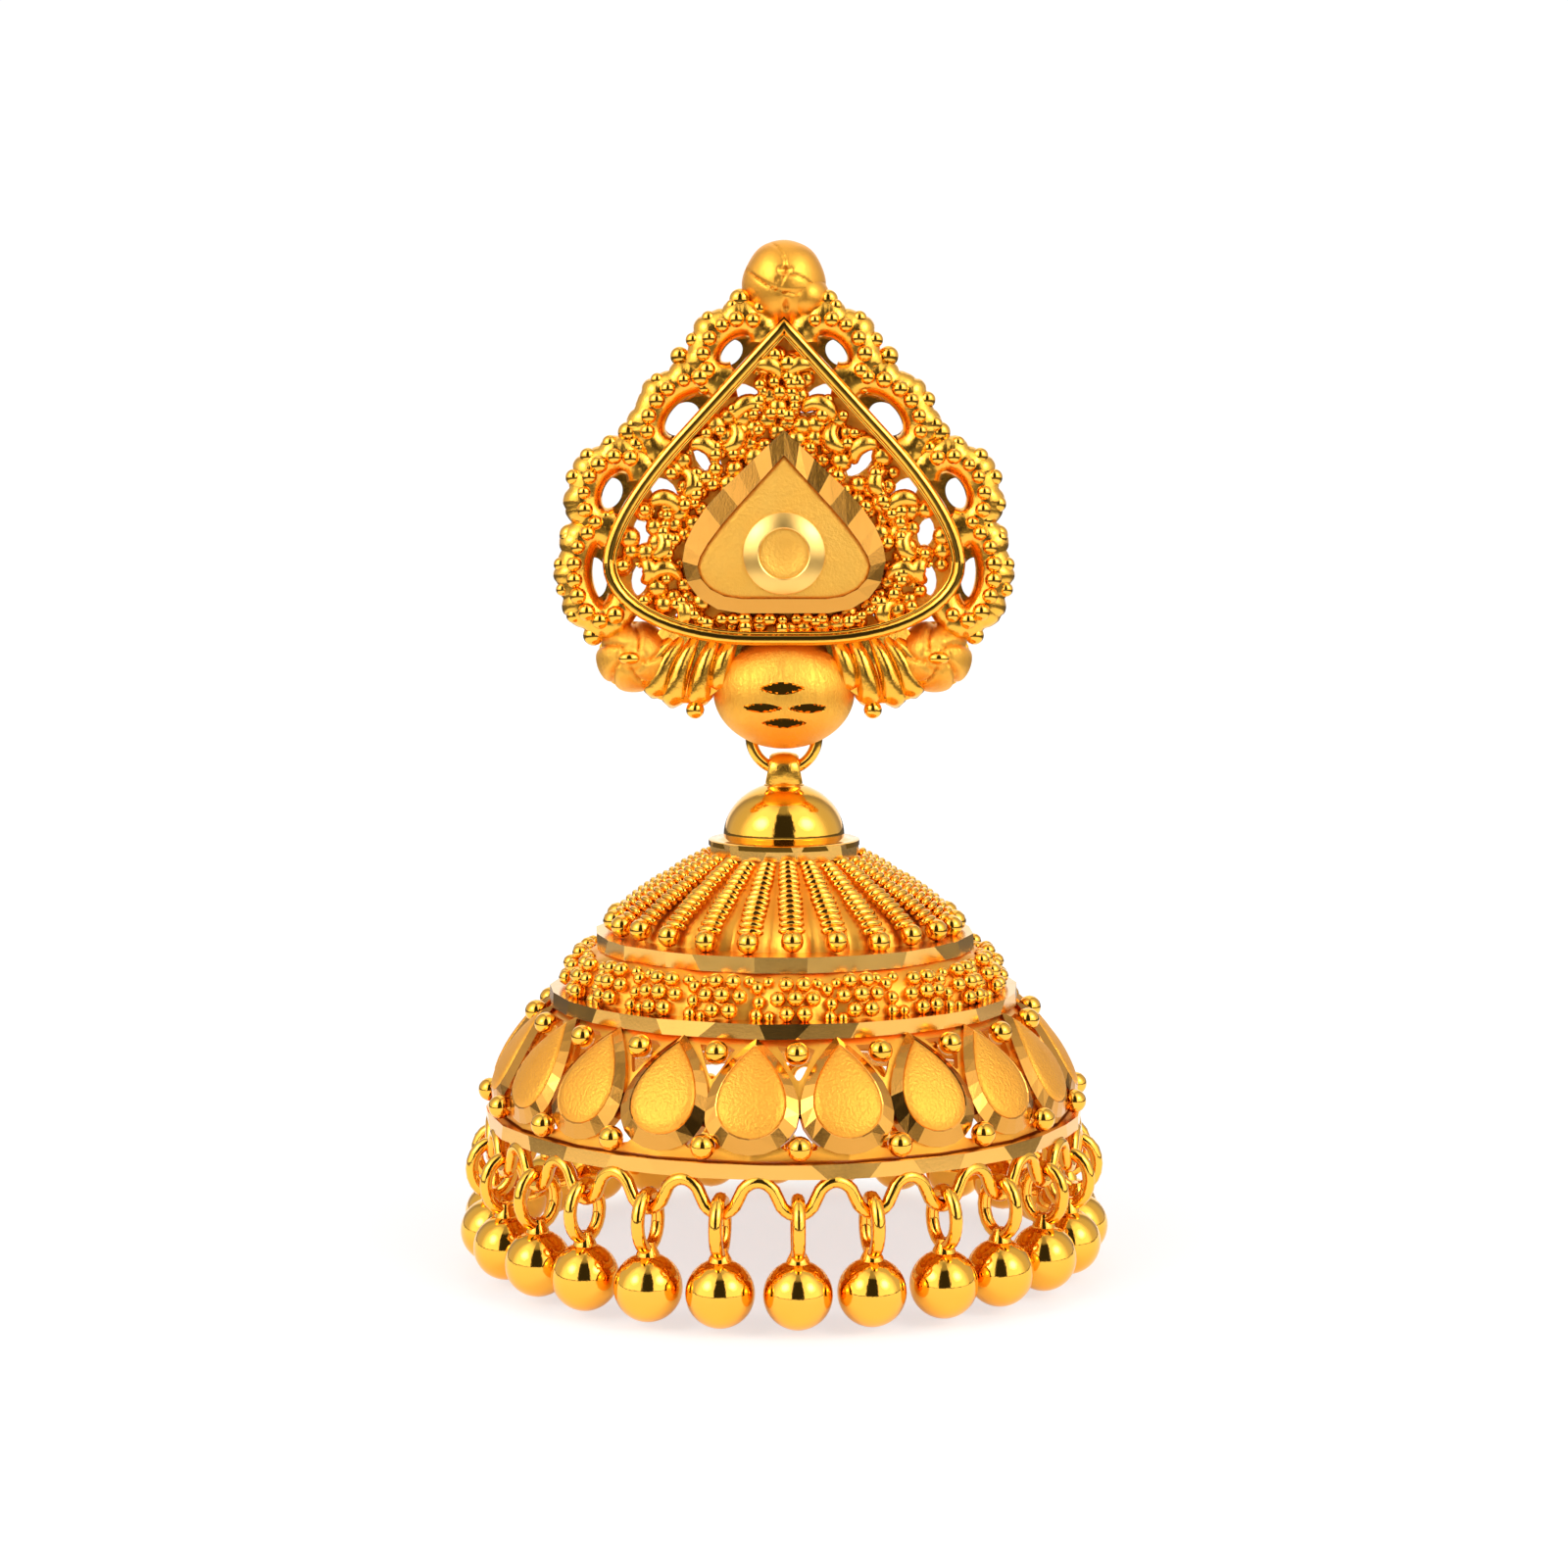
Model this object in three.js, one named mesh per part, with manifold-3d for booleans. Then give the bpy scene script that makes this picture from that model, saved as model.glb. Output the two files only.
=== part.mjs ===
import * as THREE from 'three';
import { mergeVertices } from 'three/addons/utils/BufferGeometryUtils.js';
import Module from 'manifold-3d';

// A gold jhumka: a pierced stud, and a bell-shaped dome with ball drops that swings below it.
// Millimetres, +Z up. The origin is on the back of the stud, where the ear post leaves it.
// The front of the stud faces -Y and the post runs along +Y.

// Driving dimensions of the stud. Its back lies in the plane y = 0.
const spadeRim = { apexZ: 8.35, flankX: 7.6, flankZ: -0.2, bellyX: 8.55, footX: 5.4, footZ: -5.7 };
const spadeRimWidth = 0.75;
const spadeRimDepth = 1.9;
const plaque = { apexZ: 3.7, flankX: 4.55, flankZ: -1.2, bellyX: 5.05, footX: 3.1, footZ: -4.45 };
const plaqueDepth = 1.9;
const plaqueBevel = 0.35;
const plaqueFrameWidth = 0.9;
const plaqueRecess = 0.3;
const boss = { z: -1.85, outer: 1.85, inner: 1.2, proud: 0.25 };
const ground = { back: 0.5, front: 1.1 };
const scrollHalfWidth = 0.78;
const scrollDepth = 1.7;
const topBud = { x: 0, z: 10.3, across: 1.95, high: 2.1, deep: 2.0 };
const sideBud = { x: 6.95, z: -6.55, across: 1.65, high: 1.65, deep: 1.5 };
const footBead = { x: 0, z: -8.2, across: 3.2, high: 2.55, deep: 2.7, back: 0.2 };
const fluteSize = { halfWidth: 0.5, deep: 1.3 };
const rimBeadRadius = 0.42;
const spadeBelly = { upperPull: 0.72, lowerPull: 0.15 };

// The scrolls of the left side, from the top: the window's middle, its half sizes and its turn
// in degrees. The right side mirrors them.
const scrolls = [
  { x: -2.25, z: 7.4, long: 0.85, short: 0.45, turn: 40 },
  { x: -4.4, z: 4.4, long: 1.3, short: 0.75, turn: 40 },
  { x: -7.75, z: 1.0, long: 0.95, short: 0.55, turn: 60 },
  { x: -8.4, z: -2.85, long: 1.35, short: 0.45, turn: 95 },
];

// Beads that stand alone outside the scrolls of the left side.
const rimBeads = [
  { x: -2.0, z: 9.65 },
  { x: -4.75, z: 7.1 },
  { x: -7.1, z: 3.65 },
  { x: -9.8, z: -1.0 },
  { x: -8.75, z: -5.6 },
];

// See-through gaps of the filigree ground on the left side: middle, length, width and turn.
const groundGaps = [
  { x: -1.35, z: 5.35, long: 1.9, wide: 0.75, turn: 40 },
  { x: -3.45, z: 2.6, long: 1.9, wide: 0.8, turn: 55 },
  { x: -5.3, z: 1.2, long: 1.5, wide: 0.7, turn: 40 },
  { x: -6.1, z: -0.6, long: 1.3, wide: 0.7, turn: 80 },
  { x: -6.35, z: -2.9, long: 1.5, wide: 0.7, turn: 100 },
  { x: -4.4, z: -4.75, long: 1.2, wide: 0.55, turn: 150 },
];

// Flutes of the left shell, from their root to their tip.
const flutes = [
  { rootX: -3.5, rootZ: -6.0, tipX: -4.1, tipZ: -9.0 },
  { rootX: -3.9, rootZ: -5.9, tipX: -5.35, tipZ: -8.8 },
  { rootX: -4.6, rootZ: -5.9, tipX: -6.3, tipZ: -8.5 },
];

// Driving dimensions of the post and its nut.
const post = { radius: 0.5, length: 11, padRadius: 1.7, padThick: 0.4 };
const nut = { radius: 3.0, bore: 0.65, back: 6.4, thick: 2.4, flange: 0.72, waist: 2.2, waistStart: 1.32 };

// Driving dimensions of the hanging parts. The link ring and the dome's axis lie at y = hangY.
const hangY = 0.35;
const linkRing = { radius: 1.525, wire: 0.275, z: -10.4 };
const eyelet = { radius: 0.79, wire: 0.25, z: -8.72 };
const bail = { bore: 0.47, outer: 0.76, slot: 0.34, drop: 0.62, topWidth: 1.08, footWidth: 1.95 };
const domeTopZ = -13.0;
const neck = { radius: 0.62, padRadius: 1.0, padThick: 0.2, bailLap: 0.05 };

// Heights of the dome are depths below domeTopZ.
const cap = { radius: 2.83, foot: 2.0, rows: 3 };
const collar = { radius: 3.46, top: 2.31, foot: 2.7 };
const shoulder = { kneeRadius: 6.3, kneeDepth: 4.75, footRadius: 7.75, footDepth: 6.3 };
const middleBand = { radius: 8.51, top: 6.5, foot: 7.15 };
const flowerBand = { topRadius: 8.45, kneeRadius: 9.45, kneeDepth: 7.9, footRadius: 9.9 };
const lowerBand = { radius: 10.93, top: 9.08, foot: 9.63 };
const gallery = { topRadius: 10.8, kneeRadius: 13.35, kneeDepth: 12.9, footRadius: 13.8 };
const rim = { radius: 13.94, top: 14.53, foot: 15.19 };
const wall = 0.7;
const middleBandLap = 0.3;

// What repeats around the dome: how many, and the angle of the first from the front towards +X.
const ribs = { count: 25, phase: 2.8, rise: 0.35 };
const flowerRise = 0.5;
const teardropGaps = { count: 20, phase: 3 };
const galleryBeadRadius = 0.52;

// Openings between neighbouring teardrops, as half outlines from the point to the base:
// across is the half width and depth the depth below domeTopZ.
const upperGap = [
  { across: 0, depth: 12.45 },
  { across: 0.45, depth: 11.3 },
  { across: 1.2, depth: 9.95 },
];
const lowerGap = [
  { across: 0, depth: 12.75 },
  { across: 0.6, depth: 13.6 },
  { across: 1.4, depth: 14.25 },
];
const upperBeadDepth = 10.25;
const lowerBeadDepth = 14.0;

// The ball drops and the scalloped wire that carries them.
const drops = { count: 26, phase: 2.35, circle: 13.72 };
const scallop = { wire: 0.225, peakZ: -28.2, troughZ: -29.74, stepsEach: 5, sides: 4 };
const jumpRing = { across: 0.94, high: 1.18, wire: 0.31, z: -30.29 };
const ball = { radius: 1.5, z: -33.2 };

// Cutters for the stud start behind its back and end in front of its deepest piece.
const cutterBack = -1;
const cutterFront = 3;

const goldColor = 0xf2a81d;

const wasm = await Module();
wasm.setup();

const degrees = THREE.MathUtils.degToRad;

function gold(roughness) {
  return new THREE.MeshStandardMaterial({ color: goldColor, roughness, metalness: 1 });
}

// Turns a closed geometry into a solid that can be joined and cut.
function solidOf(geometry) {
  const bare = geometry.clone();
  bare.deleteAttribute('normal');
  bare.deleteAttribute('uv');
  const merged = mergeVertices(bare, 1e-4);
  const corners = merged.index.array;
  const kept = [];
  for (let i = 0; i < corners.length; i += 3) {
    const [a, b, c] = corners.slice(i, i + 3);
    if (a !== b && b !== c && c !== a) {
      kept.push(a, b, c);
    }
  }
  const vertProperties = merged.attributes.position.array;
  return new wasm.Manifold(new wasm.Mesh({ numProp: 3, vertProperties, triVerts: new Uint32Array(kept) }));
}

function geometryOf(solid) {
  const mesh = solid.getMesh();
  const geometry = new THREE.BufferGeometry();
  geometry.setAttribute('position', new THREE.BufferAttribute(mesh.vertProperties, 3));
  geometry.setIndex(new THREE.BufferAttribute(mesh.triVerts, 1));
  geometry.computeVertexNormals();
  return geometry;
}

function join(geometries) {
  return geometries.map(solidOf).reduce((whole, piece) => whole.add(piece));
}

// Places a geometry by a turn about each axis in degrees, then a move.
function placed(geometry, { x = 0, y = 0, z = 0, turnX = 0, turnY = 0, turnZ = 0 }) {
  geometry.rotateX(degrees(turnX)).rotateY(degrees(turnY)).rotateZ(degrees(turnZ));
  return geometry.translate(x, y, z);
}

// An outline drawn in x and z, made solid between two distances in front of the plane y = 0.
function plate(shape, back, front, curveSegments = 8, bevel = 0) {
  const geometry = new THREE.ExtrudeGeometry(shape, {
    depth: front - back - 2 * bevel,
    curveSegments,
    bevelEnabled: bevel > 0,
    bevelThickness: bevel,
    bevelSize: bevel,
    bevelOffset: -bevel,
    bevelSegments: 1,
  });
  return geometry.rotateX(Math.PI / 2).translate(0, -back - bevel, 0);
}

// A spade: straight flanks from the apex, a round belly and a flat foot.
function spadeShape({ apexZ, flankX, flankZ, bellyX, footX, footZ }) {
  const upperPull = THREE.MathUtils.lerp(footZ, flankZ, spadeBelly.upperPull);
  const lowerPull = THREE.MathUtils.lerp(footZ, flankZ, spadeBelly.lowerPull);
  const shape = new THREE.Shape();
  shape.moveTo(0, apexZ);
  shape.lineTo(-flankX, flankZ);
  shape.bezierCurveTo(-bellyX, upperPull, -bellyX, lowerPull, -footX, footZ);
  shape.lineTo(footX, footZ);
  shape.bezierCurveTo(bellyX, lowerPull, bellyX, upperPull, flankX, flankZ);
  shape.lineTo(0, apexZ);
  return shape;
}

// The same spade with its edge moved in by a width.
function inset({ apexZ, flankX, flankZ, bellyX, footX, footZ }, width) {
  const rise = apexZ - flankZ;
  const slant = Math.hypot(flankX, rise);
  return {
    apexZ: apexZ - width * slant / flankX,
    flankX: flankX - width * rise / slant,
    flankZ: flankZ - width * flankX / slant,
    bellyX: bellyX - width,
    footX: footX - width / 3,
    footZ: footZ + width,
  };
}

// A half ball on a flat base, with its base on the plane y = 0 and its crown towards -Y.
function halfBall({ across, high, deep }, segments, rows) {
  const profile = [new THREE.Vector2(0, 0)];
  for (let row = 0; row <= rows; row += 1) {
    const angle = Math.PI / 2 * row / rows;
    profile.push(new THREE.Vector2(row === rows ? 0 : Math.cos(angle), Math.sin(angle)));
  }
  return new THREE.LatheGeometry(profile, segments).rotateX(Math.PI).scale(across, deep, high);
}

// A round closed bar along a loop. spine gives the loop's middle for 0 to 1, and side a unit
// direction across the bar there. The bar is 2 * sideHalf thick that way, 2 * otherHalf the other.
// A torus lends its closed net, and each of its points is moved to its place on the bar.
function loopBar({ steps, sides, spine, side, sideHalf, otherHalf }) {
  const bar = new THREE.TorusGeometry(2, 1, sides, steps);
  const { position, uv } = bar.attributes;
  const small = 1e-4;
  for (let i = 0; i < position.count; i += 1) {
    const along = uv.getX(i);
    const around = 2 * Math.PI * uv.getY(i);
    const ahead = spine(along + small).sub(spine(along - small)).normalize();
    const other = side(along).cross(ahead);
    const point = spine(along);
    point.addScaledVector(side(along), sideHalf * Math.cos(around));
    point.addScaledVector(other, otherHalf * Math.sin(around));
    position.setXYZ(i, point.x, point.y, point.z);
  }
  return bar;
}

function mirrored(row) {
  return { ...row, x: -row.x, turn: 180 - (row.turn ?? 0) };
}

// One scroll of the border: a round bar bent around its window.
function scroll({ x, z, long, short, turn }) {
  const angle = degrees(turn);
  const front = new THREE.Vector3(0, -1, 0);
  return loopBar({
    steps: 10,
    sides: 5,
    spine: (along) => {
      const across = (long + scrollHalfWidth) * Math.cos(2 * Math.PI * along);
      const up = (short + scrollHalfWidth) * Math.sin(2 * Math.PI * along);
      return new THREE.Vector3(
        x + across * Math.cos(angle) - up * Math.sin(angle),
        -scrollDepth / 2,
        z + across * Math.sin(angle) + up * Math.cos(angle),
      );
    },
    side: () => front.clone(),
    sideHalf: scrollDepth / 2,
    otherHalf: scrollHalfWidth,
  });
}

// A pointed gap of the filigree, as a hole in its outline.
function leafPath({ x, z, long, wide, turn }) {
  const along = new THREE.Vector2(Math.cos(degrees(turn)), Math.sin(degrees(turn))).multiplyScalar(long / 2);
  const across = new THREE.Vector2(-along.y, along.x).setLength(wide / 2);
  const path = new THREE.Path();
  path.moveTo(x - along.x, z - along.y);
  path.lineTo(x + across.x, z + across.y);
  path.lineTo(x + along.x, z + along.y);
  path.lineTo(x - across.x, z - across.y);
  path.closePath();
  return path;
}

function filigreeGround() {
  const shape = spadeShape(inset(spadeRim, spadeRimWidth / 2));
  shape.holes = [...groundGaps, ...groundGaps.map(mirrored)].map(leafPath);
  return plate(shape, ground.back, ground.front);
}

function spadeRimBar() {
  const shape = spadeShape(spadeRim);
  shape.holes = [spadeShape(inset(spadeRim, spadeRimWidth))];
  return plate(shape, 0, spadeRimDepth);
}

function disc(radius, back, front, segments) {
  const length = front - back;
  return new THREE.CylinderGeometry(radius, radius, length, segments).translate(0, -back - length / 2, 0);
}

// The plaque: bevelled edge, sunk panel, and a ringed boss in its middle.
function plaqueSolid() {
  const body = solidOf(plate(spadeShape(plaque), 0, plaqueDepth, 6, plaqueBevel));
  const panelShape = spadeShape(inset(plaque, plaqueFrameWidth));
  const panel = plate(panelShape, plaqueDepth - plaqueRecess, cutterFront, 6);
  const ring = disc(boss.outer, ground.front, plaqueDepth, 12).translate(0, 0, boss.z);
  const dish = disc(boss.inner, plaqueDepth - boss.proud, cutterFront, 12).translate(0, 0, boss.z);
  return body.subtract(solidOf(panel)).add(solidOf(ring)).subtract(solidOf(dish));
}

function flute({ rootX, rootZ, tipX, tipZ }) {
  const length = Math.hypot(tipX - rootX, tipZ - rootZ);
  const lean = THREE.MathUtils.radToDeg(Math.atan2(rootX - tipX, rootZ - tipZ));
  const leaf = halfBall({ across: fluteSize.halfWidth, high: length / 2, deep: fluteSize.deep }, 6, 2);
  return placed(leaf, { x: (rootX + tipX) / 2, z: (rootZ + tipZ) / 2, turnY: lean });
}

function mirroredFlute({ rootX, rootZ, tipX, tipZ }) {
  return { rootX: -rootX, rootZ, tipX: -tipX, tipZ };
}

function eyeletRing() {
  const ring = new THREE.TorusGeometry(eyelet.radius, eyelet.wire, 5, 10);
  return placed(ring, { y: hangY, z: eyelet.z, turnY: 90 });
}

function studGeometry() {
  const border = join([...scrolls, ...scrolls.map(mirrored)].map(scroll));
  const inside = solidOf(plate(spadeShape(inset(spadeRim, spadeRimWidth / 2)), cutterBack, cutterFront));
  const beads = [...rimBeads, ...rimBeads.map(mirrored)].map(({ x, z }) => (
    new THREE.OctahedronGeometry(rimBeadRadius).translate(x, -scrollDepth / 2, z)
  ));
  const buds = [topBud, sideBud, mirrored(sideBud)].map((bud) => (
    halfBall(bud, 8, 3).translate(bud.x, 0, bud.z)
  ));
  const shells = [...flutes, ...flutes.map(mirroredFlute)].map(flute);
  const bead = halfBall(footBead, 12, 4).translate(0, -footBead.back, footBead.z);
  return geometryOf(
    border
      .subtract(inside)
      .add(join([spadeRimBar(), filigreeGround()]))
      .add(plaqueSolid())
      .add(join([...beads, ...buds, ...shells, bead, eyeletRing()])),
  );
}

function postGeometry() {
  const pad = new THREE.CylinderGeometry(post.padRadius, post.padRadius, post.padThick, 12);
  const pin = new THREE.CylinderGeometry(post.radius, post.radius, post.length, 8);
  return geometryOf(join([
    pad.translate(0, post.padThick / 2, 0),
    pin.translate(0, post.length / 2, 0),
  ]));
}

// A plain round nut with a waist, bored for the post.
function nutGeometry() {
  const { radius, bore, thick, flange, waist, waistStart } = nut;
  const profile = [
    [bore, 0],
    [radius, 0],
    [radius, flange],
    [waist, waistStart],
    [waist, thick],
    [bore, thick],
    [bore, 0],
  ].map(([r, y]) => new THREE.Vector2(r, y));
  return geometryOf(solidOf(new THREE.LatheGeometry(profile, 12).translate(0, nut.back, 0)));
}

function linkRingGeometry() {
  return new THREE.TorusGeometry(linkRing.radius, linkRing.wire, 6, 16).rotateX(Math.PI / 2);
}

// The strap bail: a loop around the ring's wire, wider at its foot. Its pivot is the ring's lowest
// point, and heights are measured from there.
function bailGeometry() {
  const { bore, outer, slot, drop, topWidth, footWidth } = bail;
  const shape = new THREE.Shape();
  shape.moveTo(-outer, -drop);
  shape.lineTo(outer, -drop);
  shape.lineTo(outer, 0);
  shape.absarc(0, 0, outer, 0, Math.PI);
  const hole = new THREE.Path();
  hole.moveTo(bore, 0);
  hole.absarc(0, 0, bore, 0, Math.PI);
  hole.absarc(0, -slot + bore, bore, Math.PI, 2 * Math.PI);
  hole.closePath();
  shape.holes = [hole];
  const strap = new THREE.ExtrudeGeometry(shape, { depth: 1, bevelEnabled: false, curveSegments: 8 });
  strap.translate(0, 0, -0.5).rotateX(Math.PI / 2).rotateZ(Math.PI / 2);
  const { position } = strap.attributes;
  for (let i = 0; i < position.count; i += 1) {
    const fall = (outer - position.getZ(i)) / (outer + drop);
    position.setX(i, position.getX(i) * THREE.MathUtils.lerp(topWidth, footWidth, fall));
  }
  return strap;
}

// A wall turned about the axis from the rows of its closed outline. A row with a rise stands that
// much prouder at every second step, which makes the crests of ribs and lobes.
function turned(rows, { count, phase }) {
  const outline = rows.map(({ radius, depth }) => new THREE.Vector2(radius, -depth));
  const shell = new THREE.LatheGeometry(outline, 2 * count);
  const { position } = shell.attributes;
  for (let i = 0; i < position.count; i += 1) {
    const { radius, rise = 0 } = rows[i % rows.length];
    const step = Math.floor(i / rows.length);
    if (rise > 0 && step % 2 === 0) {
      const growth = (radius + rise) / radius;
      position.setX(i, position.getX(i) * growth);
      position.setZ(i, position.getZ(i) * growth);
    }
  }
  return around(shell.rotateX(Math.PI / 2), phase);
}

// Rows of a vault that is flatter than a half ball, from the axis out or back in to the axis.
function vaultRows(radius, top, foot, rows) {
  return Array.from({ length: rows + 1 }, (unused, row) => {
    const angle = Math.PI / 2 * row / rows;
    return { radius: row === 0 ? 0 : radius * Math.sin(angle), depth: foot - (foot - top) * Math.cos(angle) };
  });
}

// The upper wall: cap, collar, ribbed shoulder and middle band.
function upperWall() {
  const rows = [
    ...vaultRows(cap.radius, 0, cap.foot, cap.rows),
    { radius: cap.radius, depth: collar.top },
    { radius: collar.radius, depth: collar.top },
    { radius: collar.radius, depth: collar.foot },
    { radius: shoulder.kneeRadius, depth: shoulder.kneeDepth, rise: ribs.rise },
    { radius: shoulder.footRadius, depth: shoulder.footDepth, rise: ribs.rise },
    { radius: shoulder.footRadius, depth: middleBand.top },
    { radius: middleBand.radius, depth: middleBand.top },
    { radius: middleBand.radius, depth: middleBand.foot },
    { radius: shoulder.footRadius - wall, depth: middleBand.foot },
    { radius: shoulder.kneeRadius - wall, depth: shoulder.kneeDepth + wall },
    ...vaultRows(cap.radius - wall, wall, collar.foot + wall, 1).reverse(),
  ];
  return turned(rows.reverse(), ribs);
}

// The lower wall: flower band, lower band, gallery and rim.
function lowerWall() {
  const rows = [
    { radius: flowerBand.topRadius, depth: middleBand.foot - middleBandLap },
    { radius: flowerBand.topRadius, depth: middleBand.foot },
    { radius: flowerBand.kneeRadius, depth: flowerBand.kneeDepth, rise: flowerRise },
    { radius: flowerBand.footRadius, depth: lowerBand.top },
    { radius: lowerBand.radius, depth: lowerBand.top },
    { radius: lowerBand.radius, depth: lowerBand.foot },
    { radius: gallery.topRadius, depth: lowerBand.foot },
    { radius: gallery.kneeRadius, depth: gallery.kneeDepth },
    { radius: gallery.footRadius, depth: rim.top },
    { radius: rim.radius, depth: rim.top },
    { radius: rim.radius, depth: rim.foot },
    { radius: gallery.footRadius - wall, depth: rim.foot },
    { radius: gallery.kneeRadius - wall, depth: gallery.kneeDepth },
    { radius: gallery.topRadius - wall, depth: lowerBand.foot },
    { radius: flowerBand.topRadius - wall, depth: flowerBand.kneeDepth },
    { radius: flowerBand.topRadius - wall, depth: middleBand.foot - middleBandLap },
  ];
  return turned([...rows, rows[0]].reverse(), teardropGaps);
}

// The outside radius of the gallery's wall at a depth.
function galleryRadius(depth) {
  const { topRadius, kneeRadius, kneeDepth, footRadius } = gallery;
  return depth > kneeDepth
    ? THREE.MathUtils.mapLinear(depth, kneeDepth, rim.top, kneeRadius, footRadius)
    : THREE.MathUtils.mapLinear(depth, lowerBand.foot, kneeDepth, topRadius, kneeRadius);
}

// Turns a piece made at the front of the dome to its angle, counted from the front towards +X.
function around(geometry, angle) {
  return geometry.rotateZ(degrees(angle));
}

// Cuts one gap through the gallery's wall: its outline pushed through from inside to outside.
function gapCutter(halfOutline, angle) {
  const shape = new THREE.Shape();
  const corners = [
    ...halfOutline.map(({ across, depth }) => new THREE.Vector2(across, -depth)),
    ...halfOutline.slice(1).reverse().map(({ across, depth }) => new THREE.Vector2(-across, -depth)),
  ];
  shape.setFromPoints(corners);
  return around(plate(shape, gallery.topRadius - 2 * wall, rim.radius + wall), angle);
}

function galleryBead(depth, angle) {
  const bead = new THREE.OctahedronGeometry(galleryBeadRadius);
  return around(bead.translate(0, wall / 2 - galleryRadius(depth), -depth), angle);
}

// Angles of a repeat around the dome, in degrees.
function ringOf({ count, phase }) {
  return Array.from({ length: count }, (unused, i) => phase + i * 360 / count);
}

function scallopWire() {
  const middle = (scallop.peakZ + scallop.troughZ) / 2 - domeTopZ;
  const swing = (scallop.peakZ - scallop.troughZ) / 2;
  const start = degrees(drops.phase);
  return loopBar({
    steps: drops.count * scallop.stepsEach,
    sides: scallop.sides,
    spine: (along) => {
      const angle = start + 2 * Math.PI * along;
      const height = middle - swing * Math.cos(2 * Math.PI * drops.count * along);
      return new THREE.Vector3(drops.circle * Math.sin(angle), -drops.circle * Math.cos(angle), height);
    },
    side: (along) => {
      const angle = start + 2 * Math.PI * along;
      return new THREE.Vector3(Math.sin(angle), -Math.cos(angle), 0);
    },
    sideHalf: scallop.wire,
    otherHalf: scallop.wire,
  });
}

function domeGeometry() {
  const pivotZ = linkRing.z - linkRing.radius - domeTopZ;
  const neckFoot = -neck.padThick;
  const neckTop = pivotZ - bail.drop + neck.bailLap;
  const stem = new THREE.CylinderGeometry(neck.radius, neck.radius, neckTop - neckFoot, 10);
  const pad = new THREE.CylinderGeometry(neck.radius, neck.padRadius, neck.padThick * 2, 12);
  const gapAngles = ringOf(teardropGaps);
  const gaps = join(gapAngles.flatMap((angle) => [gapCutter(upperGap, angle), gapCutter(lowerGap, angle)]));
  const beads = gapAngles.flatMap((angle) => [
    galleryBead(upperBeadDepth, angle),
    galleryBead(lowerBeadDepth, angle),
  ]);
  return geometryOf(
    solidOf(lowerWall())
      .subtract(gaps)
      .add(join([...beads, scallopWire()]))
      .add(join([
        upperWall(),
        bailGeometry().translate(0, 0, pivotZ),
        stem.rotateX(Math.PI / 2).translate(0, 0, (neckTop + neckFoot) / 2),
        pad.rotateX(Math.PI / 2),
      ])),
  );
}

// An oval jump ring, standing in the radial plane, with its ball soldered to its foot.
function ballDropGeometry() {
  const across = new THREE.Vector3(1, 0, 0);
  const ring = loopBar({
    steps: 6,
    sides: 4,
    spine: (along) => {
      const angle = 2 * Math.PI * along;
      const out = jumpRing.across * Math.sin(angle);
      return new THREE.Vector3(0, -drops.circle + out, jumpRing.z + jumpRing.high * Math.cos(angle));
    },
    side: () => across.clone(),
    sideHalf: jumpRing.wire,
    otherHalf: jumpRing.wire,
  });
  const bead = new THREE.OctahedronGeometry(ball.radius, 1);
  return geometryOf(join([ring, placed(bead, { y: -drops.circle, z: ball.z, turnX: 90 })]));
}

function node(name, geometry, roughness) {
  const mesh = new THREE.Mesh(geometry, gold(roughness));
  mesh.name = name;
  return mesh;
}

const earring = new THREE.Group();
earring.add(node('stud', studGeometry(), 0.35));
earring.add(node('ear_post', postGeometry(), 0.25));
earring.add(node('screw_nut', nutGeometry(), 0.25));

const ring = node('link_ring', linkRingGeometry(), 0.2);
ring.position.set(0, hangY, linkRing.z);
earring.add(ring);

const drop = new THREE.Group();
drop.position.set(0, hangY, 0);
const dome = node('dome', domeGeometry(), 0.25);
dome.position.z = domeTopZ;
drop.add(dome);

const ballDrop = ballDropGeometry();
ringOf(drops).forEach((angle, i) => {
  const mesh = node(`ball_drop_${String(i + 1).padStart(2, '0')}`, ballDrop, 0.15);
  mesh.rotation.z = degrees(angle);
  drop.add(mesh);
});
earring.add(drop);

export default earring;
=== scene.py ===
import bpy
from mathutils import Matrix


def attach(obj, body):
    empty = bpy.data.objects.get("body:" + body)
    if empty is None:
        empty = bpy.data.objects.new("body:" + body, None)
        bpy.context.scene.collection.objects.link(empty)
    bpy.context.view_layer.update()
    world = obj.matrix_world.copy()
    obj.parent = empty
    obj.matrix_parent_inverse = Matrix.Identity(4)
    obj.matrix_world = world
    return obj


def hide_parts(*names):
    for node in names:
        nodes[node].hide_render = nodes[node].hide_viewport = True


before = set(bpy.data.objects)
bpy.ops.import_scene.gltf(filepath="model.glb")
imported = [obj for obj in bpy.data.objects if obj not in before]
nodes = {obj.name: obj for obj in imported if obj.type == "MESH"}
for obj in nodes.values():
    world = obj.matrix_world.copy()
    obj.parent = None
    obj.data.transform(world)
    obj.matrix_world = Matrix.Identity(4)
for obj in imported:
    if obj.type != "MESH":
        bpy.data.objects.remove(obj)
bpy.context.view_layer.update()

import math
import random

import bmesh
import bpy
from mathutils import Vector
from mathutils.geometry import delaunay_2d_cdt

# Shapes are written in millimetres and turned into metres when their mesh is made.
# The dome hangs on a vertical axis at y = hangY. Depths of its parts are below domeTop.
# Angles round the dome are in degrees from the front, positive towards +X.
mm = 0.001
hangY = 0.35
domeTop = -13.0
corners = ((-1, -1), (1, -1), (1, 1), (-1, 1))


# small mesh helpers

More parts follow.
